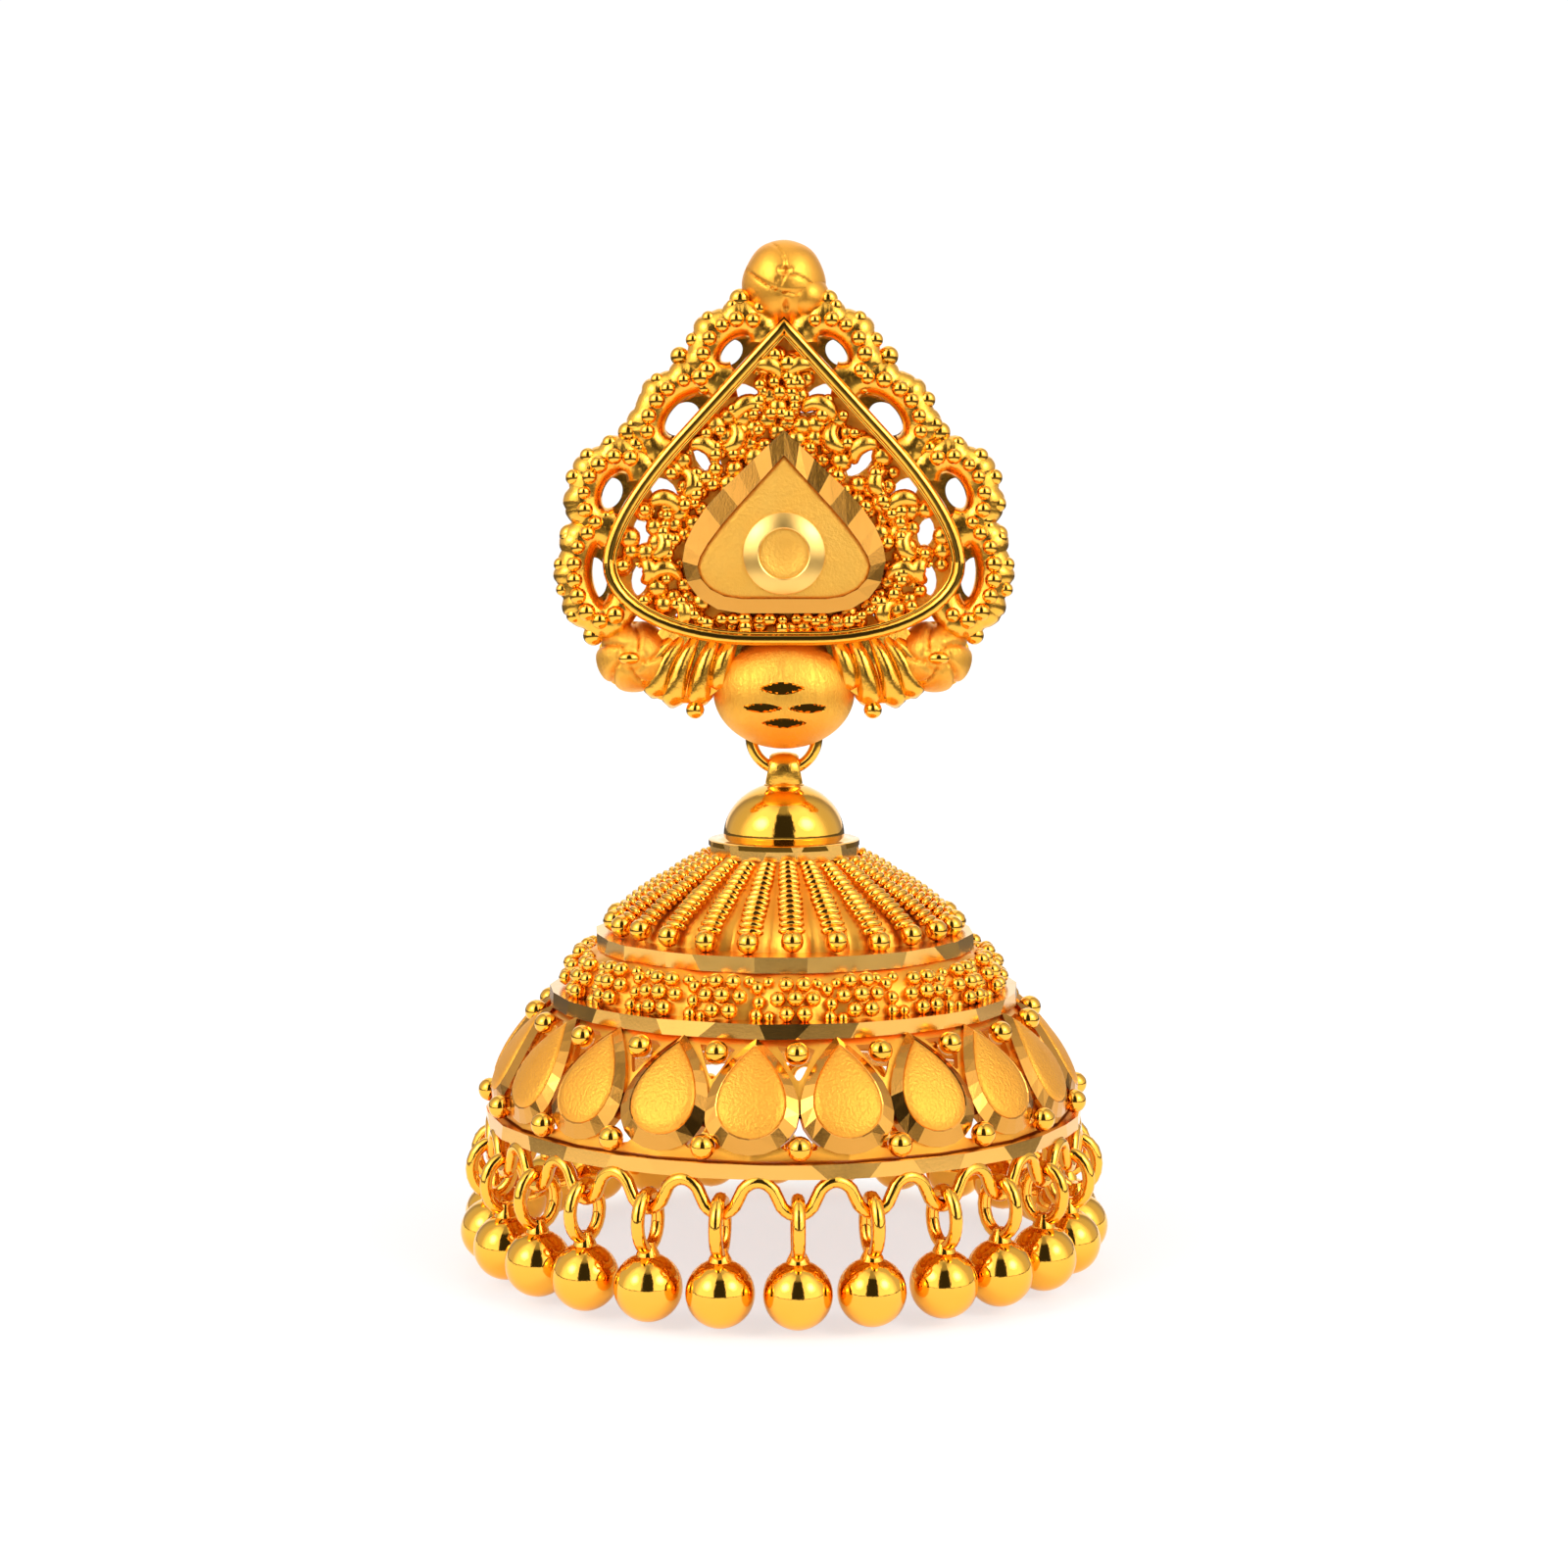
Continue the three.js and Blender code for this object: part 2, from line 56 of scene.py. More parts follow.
def joined(*shapes):
    # A shape is (points, faces). This makes one of many.
    points = []
    faces = []
    for morePoints, moreFaces in shapes:
        faces.extend(tuple(i + len(points) for i in face) for face in moreFaces)
        points.extend(morePoints)
    return points, faces


def makeObject(name, shape, material, crease=35, flat=False):
    points, faces = shape
    mesh = bpy.data.meshes.new(name)
    mesh.from_pydata([(x * mm, y * mm, z * mm) for x, y, z in points], [], faces)
    work = bmesh.new()
    work.from_mesh(mesh)
    bmesh.ops.recalc_face_normals(work, faces=work.faces)
    for face in work.faces:
        face.smooth = not flat
    for edge in work.edges:
        if len(edge.link_faces) == 2 and edge.calc_face_angle(0) > math.radians(crease):
            edge.smooth = False
    work.to_mesh(mesh)
    work.free()
    mesh.materials.append(material)
    return linkObject(name, mesh)


def linkObject(name, data):
    obj = bpy.data.objects.new(name, data)
    bpy.context.scene.collection.objects.link(obj)
    return obj


# The body and the slot of each family of pieces.
families = {
    "ring": ("ring_body", "polished_gold"), "dome": ("drop_body", "dome_gold"), "drops": ("drop_body", "ball_gold"),
    "stud": ("stud_body", "stud_gold"), "plain": ("stud_body", "plain_gold"), "bright": ("stud_body", "polished_gold")}


def finishPiece(obj, family, *stands):
    body, slotName = families[family]
    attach(obj, body)
    if stands:
        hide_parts(*stands)


def piece(family, name, shape, material, *stands, **looks):
    finishPiece(makeObject(name, shape, material, **looks), family, *stands)


def turns(steps):
    return [math.tau * k / steps for k in range(steps)]


def oval(steps, across, high):
    # Places round an ellipse about the origin.
    return [(across * math.cos(turn), high * math.sin(turn)) for turn in turns(steps)]


def roundAt(radius, degrees, z, axisY=hangY):
    turn = math.radians(degrees)
    return (radius * math.sin(turn), axisY - radius * math.cos(turn), z)


def bridge(rows, closedRows=False, ends=False):
    # Faces between neighbouring rows of point numbers; a row of one number is a pole.
    faces = []
    pairs = list(zip(rows, rows[1:])) + ([(rows[-1], rows[0])] if closedRows else [])
    for lower, upper in pairs:
        count = max(len(lower), len(upper))
        for i in range(count):
            j = (i + 1) % count
            if len(lower) == 1:
                faces.append((lower[0], upper[j], upper[i]))
            elif len(upper) == 1:
                faces.append((lower[i], lower[j], upper[0]))
            else:
                faces.append((lower[i], lower[j], upper[j], upper[i]))
    return faces + ([tuple(reversed(rows[0])), tuple(rows[-1])] if ends else [])


def skin(rows, closedRows=False, ends=False):
    # The points and faces of a stack of equal rows of points.
    points = [point for row in rows for point in row]
    width = len(rows[0])
    numbers = [list(range(k * width, (k + 1) * width)) for k in range(len(rows))]
    return points, bridge(numbers, closedRows, ends)


def revolve(profile, steps, closed=False, axisY=hangY, lift=None):
    # Turns a profile of (radius, z) round the dome's axis. lift(row, degrees) adds to a radius.
    points = []
    rows = []
    for k, (radius, z) in enumerate(profile):
        if radius < 1e-6:
            rows.append([len(points)])
            points.append((0, axisY, z))
            continue
        rows.append(list(range(len(points), len(points) + steps)))
        for i in range(steps):
            degrees = 360 * i / steps
            points.append(roundAt(radius + (lift(k, degrees) if lift else 0), degrees, z, axisY))
    return points, bridge(rows, closedRows=closed)


def sweep(path, widths, sides=10, closed=False, up=(0, -1, 0)):
    # Carries a round section along a path. A width is a radius or an (across, high) pair.
    path = [Vector(p) for p in path]
    count = len(path)
    rows = []
    for i, place in enumerate(path):
        before = path[i - 1] if closed or i > 0 else path[0]
        after = path[(i + 1) % count] if closed or i < count - 1 else path[-1]
        run = (after - before).normalized()
        across = run.cross(Vector(up)).normalized()
        high = across.cross(run).normalized()
        width = widths[i] if isinstance(widths, list) else widths
        wide, tall = width if isinstance(width, tuple) else (width, width)
        rows.append([place + across * u + high * v for u, v in oval(sides, wide, tall)])
    return skin(rows, closedRows=closed, ends=not closed)


def lerp(a, b, t):
    return a + (b - a) * t


def along(points, t):
    # A place a share t of the way along a list of points, by length.
    lengths = [math.dist(a, b) for a, b in zip(points, points[1:])]
    want = t * sum(lengths)
    for (a, b), length in zip(zip(points, points[1:]), lengths):
        if want <= length or (a, b) == (points[-2], points[-1]):
            return tuple(lerp(u, v, want / length) for u, v in zip(a, b))
        want -= length


def smoothLine(points, rounds=2):
    # Rounds the corners of an open line by cutting them.
    for _ in range(rounds):
        pairs = zip(points, points[1:])
        cuts = [tuple(lerp(u, v, share) for u, v in zip(a, b)) for a, b in pairs for share in (0.25, 0.75)]
        points = [points[0]] + cuts + [points[-1]]
    return points


def profileAt(line, share, ahead):
    # The radius and depth a share of the way along a profile, and its slope there.
    radius, depth = along(line, share)
    nextRadius, nextDepth = along(line, share + ahead)
    return radius, depth, math.atan2(nextDepth - depth, nextRadius - radius)


def isInside(place, outline):
    x, z = place
    inside = False
    for (x1, z1), (x2, z2) in zip(outline, outline[1:] + outline[:1]):
        if (z1 > z) != (z2 > z) and x < (x2 - x1) * (z - z1) / (z2 - z1) + x1:
            inside = not inside
    return inside


def pierced(outer, holes, back, front):
    # A plate between two heights with holes through it.
    places = []
    rims = []
    for loop in [outer] + holes:
        start = len(places)
        places.extend(Vector(place) for place in loop)
        rims.extend((start + i, start + (i + 1) % len(loop)) for i in range(len(loop)))
    filled = delaunay_2d_cdt(places, rims, [], 1, 1e-5)
    flat = filled[0]
    kept = []
    for face in filled[2]:
        middle = tuple(sum((flat[i] for i in face), Vector((0, 0))) / len(face))
        if not any(isInside(middle, hole) for hole in holes):
            kept.append(tuple(face))
    count = len(flat)
    points = [(p.x, y, p.y) for y in (back, front) for p in flat]
    solid = kept + [tuple(i + count for i in face) for face in kept]
    uses = {}
    for face in kept:
        for i, j in zip(face, face[1:] + face[:1]):
            uses.setdefault(frozenset((i, j)), []).append((i, j))
    solid.extend((i, j, j + count, i + count) for pairs in uses.values() if len(pairs) == 1 for i, j in pairs)
    return points, solid


# node helpers

def join(tree, value, socket):
    if isinstance(value, bpy.types.NodeSocket):
        tree.links.new(value, socket)
    else:
        socket.default_value = value


def addNode(tree, kind, inputs=(), **settings):
    # Adds a node. Each input, by name or number, takes a value or another node's output.
    node = tree.nodes.new(kind)
    for label, value in settings.items():
        setattr(node, label, value)
    for key, value in dict(inputs).items():
        join(tree, value, node.inputs[key])
    return node


def output(tree, kind, inputs=(), **settings):
    return next(s for s in addNode(tree, kind, inputs, **settings).outputs if s.enabled)


def calc(tree, operation, *values):
    return output(tree, "ShaderNodeMath", enumerate(values), operation=operation)


def sums(tree):
    # Functions that multiply, add and subtract any number of values in a tree.
    def chain(operation):
        def run(total, *values):
            for value in values:
                total = calc(tree, operation, total, value)
            return total

        return run

    return chain("MULTIPLY"), chain("ADD"), chain("SUBTRACT")


def emptyTree(owner):
    owner.use_nodes = True
    owner.node_tree.nodes.clear()
    return owner.node_tree


# repeated detail: three Geometry Nodes trees

def startTree(name, values):
    # A tree with an input for each value and for the material.
    tree = bpy.data.node_groups.new(name, "GeometryNodeTree")
    tree.interface.new_socket("Geometry", in_out="INPUT", socket_type="NodeSocketGeometry")
    for label, value in values.items():
        kind = "NodeSocketInt" if isinstance(value, int) else "NodeSocketFloat"
        tree.interface.new_socket(label, in_out="INPUT", socket_type=kind).default_value = value
    tree.interface.new_socket("Material", in_out="INPUT", socket_type="NodeSocketMaterial")
    tree.interface.new_socket("Geometry", in_out="OUTPUT", socket_type="NodeSocketGeometry")
    return tree, tree.nodes.new("NodeGroupInput").outputs


def closeTree(tree, instances, given):
    # Every tree ends the same way: real geometry, with its material.
    real = output(tree, "GeometryNodeRealizeInstances", {0: instances})
    addNode(tree, "NodeGroupOutput", {
        0: output(tree, "GeometryNodeSetMaterial", {"Geometry": real, "Material": given["Material"]})})
    return tree


def randomOf(tree, low, high, seed):
    node = addNode(tree, "FunctionNodeRandomValue", data_type="FLOAT")
    inputs = [s for s in node.inputs if s.enabled]
    for socket, value in zip((inputs[0], inputs[1], inputs[-1]), (low, high, seed)):
        join(tree, value, socket)
    return next(s for s in node.outputs if s.enabled)


def eitherWay(tree, given, label):
    # A random number up to the labelled input, either way.
    return randomOf(tree, calc(tree, "MULTIPLY", given[label], -1), given[label], given["Seed"])


def smoothBall(tree, detail):
    ball = output(tree, "GeometryNodeMeshIcoSphere", {"Radius": mm, "Subdivisions": detail})
    return output(tree, "GeometryNodeSetShadeSmooth", {0: ball})


def instanceOn(tree, points, instance, size, euler=None):
    inputs = {"Points": points, "Instance": instance, "Scale": size}
    if euler is not None:
        inputs["Rotation"] = output(tree, "FunctionNodeEulerToRotation", {0: euler})
    return output(tree, "GeometryNodeInstanceOnPoints", inputs)


def makeWheelTree():
    # Repeats the incoming geometry round the dome's axis, each turn and size a little off.
    tree, given = startTree("wheel", {"Count": 20, "Phase": 0.0, "Wobble": 0.0, "Uneven": 0.0, "Seed": 1})
    step = calc(tree, "DIVIDE", math.tau, given["Count"])
    even = calc(tree, "MULTIPLY_ADD", output(tree, "GeometryNodeInputIndex"), step, given["Phase"])
    angle = calc(tree, "ADD", even, eitherWay(tree, given, "Wobble"))
    placed = instanceOn(
        tree, output(tree, "GeometryNodePoints", {"Count": given["Count"]}), given["Geometry"],
        calc(tree, "ADD", 1, eitherWay(tree, given, "Uneven")), output(tree, "ShaderNodeCombineXYZ", {2: angle}))
    moved = output(tree, "GeometryNodeTransform", {"Geometry": placed, "Translation": (0, hangY * mm, 0)})
    return closeTree(tree, moved, given)


def makeGrainTree():
    # Puts a ball at every incoming point, shaped and turned by the point's own attributes.
    tree, given = startTree("grains", {"Detail": 2, "Uneven": 0.05, "Seed": 1})
    kind = "GeometryNodeInputNamedAttribute"
    size, turn = [output(tree, kind, {0: label}, data_type="FLOAT_VECTOR") for label in ("size", "turn")]
    factor = calc(tree, "ADD", 1, eitherWay(tree, given, "Uneven"))
    scale = output(tree, "ShaderNodeVectorMath", {0: size, "Scale": factor}, operation="SCALE")
    return closeTree(tree, instanceOn(tree, given["Geometry"], smoothBall(tree, given["Detail"]), scale, turn), given)


def makeScatterTree():
    # Strews uneven lumps over the incoming faces, never closer than Spacing.
    tree, given = startTree("scatter", {"Spacing": 0.0005, "Density": 2e6, "Smallest": 0.1, "Largest": 0.4, "Seed": 1})
    spread = addNode(tree, "GeometryNodeDistributePointsOnFaces", distribute_method="POISSON")
    for label, source in (
            ("Mesh", "Geometry"), ("Distance Min", "Spacing"), ("Density Max", "Density"), ("Seed", "Seed")):
        join(tree, given[source], spread.inputs[label])
    size = randomOf(tree, given["Smallest"], given["Largest"], given["Seed"])
    return closeTree(tree, instanceOn(tree, spread.outputs["Points"], smoothBall(tree, 2), size), given)


wheelTree = makeWheelTree()
grainTree = makeGrainTree()
scatterTree = makeScatterTree()


def grow(obj, *stages):
    # Runs trees over an object in turn and keeps the result as its plain mesh.
    for tree, values in stages:
        modifier = obj.modifiers.new(tree.name, "NODES")
        modifier.node_group = tree
        for item in tree.interface.items_tree:
            if item.in_out == "INPUT" and item.name in values:
                modifier[item.identifier] = values[item.name]
    bpy.context.view_layer.update()
    graph = bpy.context.evaluated_depsgraph_get()
    mesh = bpy.data.meshes.new_from_object(obj.evaluated_get(graph), preserve_all_data_layers=True, depsgraph=graph)
    obj.modifiers.clear()
    obj.data = mesh


def wheelOf(part, wobble=0.0, seed=1, uneven=0.0):
    # The wheel tree's inputs for a part with a count and a phase in degrees.
    phase = math.radians(part["phase"])
    return {"Count": part["count"], "Phase": phase, "Wobble": wobble, "Uneven": uneven, "Seed": seed}


def growRound(family, name, shape, material, wheel, *stands, **looks):
    # A piece made of copies of one shape round the dome.
    obj = makeObject(name, shape, material, **looks)
    grow(obj, (wheelTree, {**wheel, "Material": material}))
    finishPiece(obj, family, *stands)


def grain(place, size, lean=0):
    # A ball, or a disc of three half sizes, and how far it leans about the X axis in radians.
    return place, size if isinstance(size, tuple) else (size,) * 3, (lean, 0, 0)


def beadPiece(family, name, grains, wheel=None, material=None, detail=3, uneven=0.0, seed=1):
    # Loose points carrying a size and a turn each grow into balls, and those into a ring of them.
    mesh = bpy.data.meshes.new(name)
    mesh.from_pydata([tuple(v * mm for v in place) for place, size, turn in grains], [], [])
    for label, column in (("size", 1), ("turn", 2)):
        values = mesh.attributes.new(label, "FLOAT_VECTOR", "POINT")
        values.data.foreach_set("vector", [v for each in grains for v in each[column]])
    obj = linkObject(name, mesh)
    paint = {"Material": material or polished}
    stages = [(grainTree, {"Detail": detail, "Uneven": uneven, "Seed": seed, **paint})]
    grow(obj, *stages, *([(wheelTree, {**wheel, **paint})] if wheel else []))
    finishPiece(obj, family)


print("helpers ready")


# gold finishes

def makeGoldGroup():
    # Colour drift, uneven roughness, fine grain and hairline scratches, all in object space.
    group = bpy.data.node_groups.new("gold detail", "ShaderNodeTree")
    ports = {
        "INPUT": {"Colour": "Color", "Warm colour": "Color", "Roughness": "Float", "Roughness drift": "Float",
                  "Grain scale": "Float", "Grain depth": "Float", "Scratch scale": "Float", "Scratch depth": "Float"},
        "OUTPUT": {"Colour": "Color", "Roughness": "Float", "Normal": "Vector"}}
    for direction, sockets in ports.items():
        for label, kind in sockets.items():
            group.interface.new_socket(label, in_out=direction, socket_type="NodeSocket" + kind)
    given = group.nodes.new("NodeGroupInput").outputs
    where = group.nodes.new("ShaderNodeTexCoord").outputs["Object"]

    def noise(place, **inputs):
        return output(group, "ShaderNodeTexNoise", {"Vector": place, **inputs})

    mixer = addNode(group, "ShaderNodeMix", {0: noise(where, Scale=380, Detail=3)}, data_type="RGBA")
    colours = [s for s in mixer.inputs if s.type == "RGBA"]
    join(group, given["Colour"], colours[0])
    join(group, given["Warm colour"], colours[1])
    smudge = calc(group, "SUBTRACT", noise(where, Scale=900, Detail=4), 0.5)
    stretched = output(group, "ShaderNodeMapping", {
        "Vector": where, "Scale": (1, 1, 0.16), "Rotation": (0.4, 0.2, 0.9)})
    scratch = noise(stretched, Scale=given["Scratch scale"], Detail=4, Roughness=0.75, Distortion=1.6)
    first = output(group, "ShaderNodeBump", {
        "Height": noise(where, Scale=given["Grain scale"], Detail=2), "Distance": given["Grain depth"]})
    addNode(group, "NodeGroupOutput", {
        "Colour": next(s for s in mixer.outputs if s.type == "RGBA"),
        "Roughness": calc(group, "MULTIPLY_ADD", smudge, given["Roughness drift"], given["Roughness"]),
        "Normal": output(group, "ShaderNodeBump", {
            "Height": scratch, "Distance": given["Scratch depth"], "Normal": first})})
    return group


goldGroup = makeGoldGroup()


def gold(name, colour, warm, rough, drift, grainSize, scratchSize):
    material = bpy.data.materials.new(name)
    tree = emptyTree(material)
    detail = addNode(tree, "ShaderNodeGroup", node_tree=goldGroup)
    values = {
        "Colour": (*colour, 1), "Warm colour": (*warm, 1), "Roughness": rough, "Roughness drift": drift,
        "Grain scale": 1 / (grainSize[0] * mm), "Grain depth": grainSize[1] * mm,
        "Scratch scale": 1 / (scratchSize[0] * mm), "Scratch depth": scratchSize[1] * mm}
    for label, value in values.items():
        detail.inputs[label].default_value = value
    shader = output(tree, "ShaderNodeBsdfPrincipled", {
        "Metallic": 1, "Base Color": detail.outputs["Colour"], "Roughness": detail.outputs["Roughness"],
        "Normal": detail.outputs["Normal"]})
    addNode(tree, "ShaderNodeOutputMaterial", {"Surface": shader})
    return material


# Colour, warm colour, roughness and its drift, then grain and scratches as (size, depth) in millimetres.
golds = {
    "Polished": ((1.0, 0.53, 0.075), (1.0, 0.48, 0.05), 0.07, 0.05, (0.2, 0.004), (0.35, 0.002)),
    "Cut": ((0.89, 0.49, 0.12), (0.85, 0.43, 0.085), 0.18, 0.08, (0.12, 0.0015), (0.25, 0.004)),
    # A lighter copy of the cut gold, for the collar and middle bands: painted light.
    "LitCut": ((0.97, 0.57, 0.15), (0.94, 0.51, 0.11), 0.26, 0.08, (0.12, 0.0015), (0.25, 0.004)),
    "Matte": ((0.95, 0.465, 0.064), (0.95, 0.42, 0.045), 0.52, 0.12, (0.13, 0.05), (0.5, 0.006)),
    "Brushed": ((1.0, 0.53, 0.075), (1.0, 0.47, 0.055), 0.46, 0.16, (0.13, 0.022), (0.24, 0.035)),
    "Satin": ((0.98, 0.48, 0.065), (0.98, 0.43, 0.045), 0.42, 0.12, (0.2, 0.01), (0.4, 0.004)),
    "Cast": ((1.0, 0.54, 0.08), (1.0, 0.48, 0.05), 0.1, 0.08, (0.3, 0.018), (0.4, 0.006)),
    "Soft": ((1.0, 0.53, 0.075), (1.0, 0.47, 0.05), 0.22, 0.12, (0.35, 0.02), (0.4, 0.01)),
    # A darker, deeper orange copy of the cut gold for the teardrop frames: painted shade and a painted reflection of
    # gold in gold.
    "ShadedCut": ((0.73, 0.35, 0.07), (0.65, 0.29, 0.045), 0.16, 0.1, (0.12, 0.0015), (0.25, 0.003)),
    # A lighter copy of the matte gold for the plaque panel and disc: painted light that brightens faces turned to the
    # dark front of the tent. Its higher roughness is the frosted finish.
    "LitMatte": ((1.0, 0.6, 0.12), (1.0, 0.54, 0.08), 0.6, 0.12, (0.13, 0.04), (0.5, 0.006)),
    # A paler, creamier gold for the plaque ring: a painted highlight.
    "CreamHighlight": ((1.0, 0.64, 0.19), (1.0, 0.58, 0.14), 0.34, 0.1, (0.12, 0.002), (0.3, 0.003))}
polished, cut, litCut, matte, brushed, satin, cast, soft, shadedCut, litMatte, creamHighlight = [
    gold("gold" + name, *look) for name, look in golds.items()]
print("gold ready")


# camera, light and ground

# Millimetres, and degrees down.
view = {"place": (0, -137.95, 0.5), "down": 5.41, "lens": 68.445, "sensor": 36, "near": 10}
cameraData = bpy.data.cameras.new("camera")
cameraData.lens = view["lens"]
cameraData.sensor_width = view["sensor"]
cameraData.clip_start = view["near"] * mm
camera = linkObject("camera", cameraData)
camera.location = [v * mm for v in view["place"]]
camera.rotation_euler = (math.radians(90 - view["down"]), 0, 0)
bpy.context.scene.camera = camera
bpy.context.scene.view_settings.view_transform = "Standard"


def ease(tree, value, low, high, start=0, end=1):
    inputs = enumerate((value, low, high, start, end))
    return output(tree, "ShaderNodeMapRange", inputs, interpolation_type="SMOOTHSTEP")


# A product tent: dark behind the camera, a soft box on each side with a hot core, pale behind.
# Azimuths and heights are in degrees; azimuth runs from the front, the same on both sides.
# Round lists (azimuth, light).
tent = {
    "box": (19, 23), "boxFade": (68, 100), "boxTop": (56, 86), "boxLight": 1.1, "core": (51, 32), "coreFade": (4, 17),
    "coreLight": 6.5, "ceiling": 0.4, "ceilingFade": (52, 64), "seen": 1.05,
    "round": [(0, 0.035), (19, 0.035), (23, 0.45), (100, 0.72), (124, 0.66), (145, 0.35), (155, 1.15), (180, 1.25)]}


def makeWorld():
    world = bpy.data.worlds.new("tent")
    tree = emptyTree(world)
    times, plus, minus = sums(tree)

    def within(value, reach):
        return ease(tree, value, math.radians(reach[0]), math.radians(reach[1]))

    def beyond(value, reach):
        return minus(1, within(value, reach))

    direction = tree.nodes.new("ShaderNodeTexCoord").outputs["Generated"]
    x, y, z = addNode(tree, "ShaderNodeSeparateXYZ", {0: direction}).outputs
    azimuth = calc(tree, "ARCTAN2", calc(tree, "ABSOLUTE", x), times(y, -1))
    height = calc(tree, "ARCSINE", z)
    base = addNode(tree, "ShaderNodeValToRGB", {0: calc(tree, "DIVIDE", azimuth, math.pi)})
    ramp = base.color_ramp
    while len(ramp.elements) < len(tent["round"]):
        ramp.elements.new(0.5)
    for element, (degrees, light) in zip(ramp.elements, tent["round"]):
        element.position = degrees / 180
        element.color = (light / 2, light / 2, light / 2, 1)
    around = times(base.outputs[0], 2)
    roof = times(within(height, tent["ceilingFade"]), tent["ceiling"])
    sides = within(azimuth, tent["box"])
    box = times(sides, beyond(azimuth, tent["boxFade"]), beyond(height, tent["boxTop"]), tent["boxLight"])
    coreAzimuth, coreHeight = [math.radians(v) for v in tent["core"]]
    across = times(minus(azimuth, coreAzimuth), math.cos(coreHeight))
    upward = minus(height, coreHeight)
    away = calc(tree, "SQRT", plus(times(across, across), times(upward, upward)))
    hot = times(beyond(away, tent["coreFade"]), tent["coreLight"], sides)
    lights = [
        output(tree, "ShaderNodeBackground", {"Color": (1, 1, 1, 1), "Strength": strength})
        for strength in (plus(calc(tree, "MAXIMUM", around, roof), box, hot), tent["seen"])]
    eye = tree.nodes.new("ShaderNodeLightPath").outputs["Is Camera Ray"]
    mixed = output(tree, "ShaderNodeMixShader", enumerate([eye] + lights))
    addNode(tree, "ShaderNodeOutputWorld", {0: mixed})
    bpy.context.scene.world = world


makeWorld()

# The sheet reads near white to the eye with a faint shadow, and dims away from the piece in reflections.
ground = {
    "z": -35.0, "reach": 900, "glow": 0.65, "soft": 0.38, "near": 50, "far": 105, "dim": 0.1,
    "bounce": 0.8, "lift": 0.3}


def makeGround():
    material = bpy.data.materials.new("sheet")
    tree = emptyTree(material)
    times, plus, minus = sums(tree)
    where = tree.nodes.new("ShaderNodeTexCoord").outputs["Object"]
    x, y, z = addNode(tree, "ShaderNodeSeparateXYZ", {0: where}).outputs
    away = calc(tree, "SQRT", plus(times(x, x), times(y, y)))
    fade = ease(tree, away, ground["near"] * mm, ground["far"] * mm, 1, ground["dim"])
    eye = tree.nodes.new("ShaderNodeLightPath").outputs["Is Camera Ray"]

    def seenOr(toEye, toGold):
        # One value for camera rays, another that fades with distance for all others.
        return plus(times(eye, ground[toEye]), times(minus(1, eye), times(fade, ground[toGold])))

    tone = output(tree, "ShaderNodeCombineColor", enumerate([seenOr("soft", "bounce")] * 3))
    glow = output(tree, "ShaderNodeEmission", {"Strength": seenOr("glow", "lift")})
    cloth = output(tree, "ShaderNodeBsdfDiffuse", {"Color": tone})
    addNode(tree, "ShaderNodeOutputMaterial", {"Surface": output(tree, "ShaderNodeAddShader", {0: glow, 1: cloth})})
    reach = ground["reach"]
    shape = ([(x * reach, y * reach, ground["z"]) for x, y in corners], [(0, 1, 2, 3)])
    makeObject("sheet", shape, material, flat=True)


makeGround()
print("camera, tent and ground ready")


# the dome: crown, bands and shoulder

crown = {
    "top": -12.5, "high": 2.5, "radius": 2.82, "foot": -15.12, "chamfer": 0.1, "arcs": 16,
    "cove": [(2.3, -15.0), (2.83, -15.04), (2.95, -15.12), (3.2, -15.16), (3.46, -15.13), (3.52, -15.17),
             (3.52, -15.4), (2.3, -15.4)]}


def makeCrown():
    radius, high, arcs = crown["radius"], crown["high"], crown["arcs"]
    centre = crown["top"] - high
    profile = [(0, crown["foot"]), (radius - crown["chamfer"], crown["foot"])]
    for turn in turns(arcs * 4)[:arcs]:
        profile.append((radius * math.cos(turn), centre + high * math.sin(turn)))
    profile.append((0, crown["top"]))
    piece("dome", "crown_cap", revolve(profile, steps=96), polished, "dome", crease=50)
    piece("dome", "crown_cove", revolve(crown["cove"], steps=72, closed=True), polished, crease=50)


makeCrown()

# A bright-cut band: flat facets of uneven length and lean meet at slightly slanting edges.
# Facet and lean are in degrees.
bands = {
    "collar": {"radius": 3.56, "top": -15.18, "foot": -15.86, "inner": 2.6, "facet": 30, "lean": 7, "seed": 4},
    "middle": {"radius": 8.84, "top": -19.42, "foot": -20.12, "inner": 7.3, "facet": 15, "lean": 8, "seed": 11},
    "lower": {"radius": 10.9, "top": -22.02, "foot": -22.68, "inner": 9.9, "facet": 12, "lean": 9, "seed": 23},
    "rim": {"radius": 13.9, "top": -27.55, "foot": -28.19, "inner": 12.9, "facet": 10, "lean": 8, "seed": 37}}
# The collar and middle bands take the lighter copy of the cut gold, painted light; the lower bands take the cut gold
# itself.
bandLooks = {"collar": litCut, "middle": litCut, "lower": cut, "rim": cut}
bandDrift = {"turn": (-0.28, 0.28), "radius": (0.997, 1.004)}


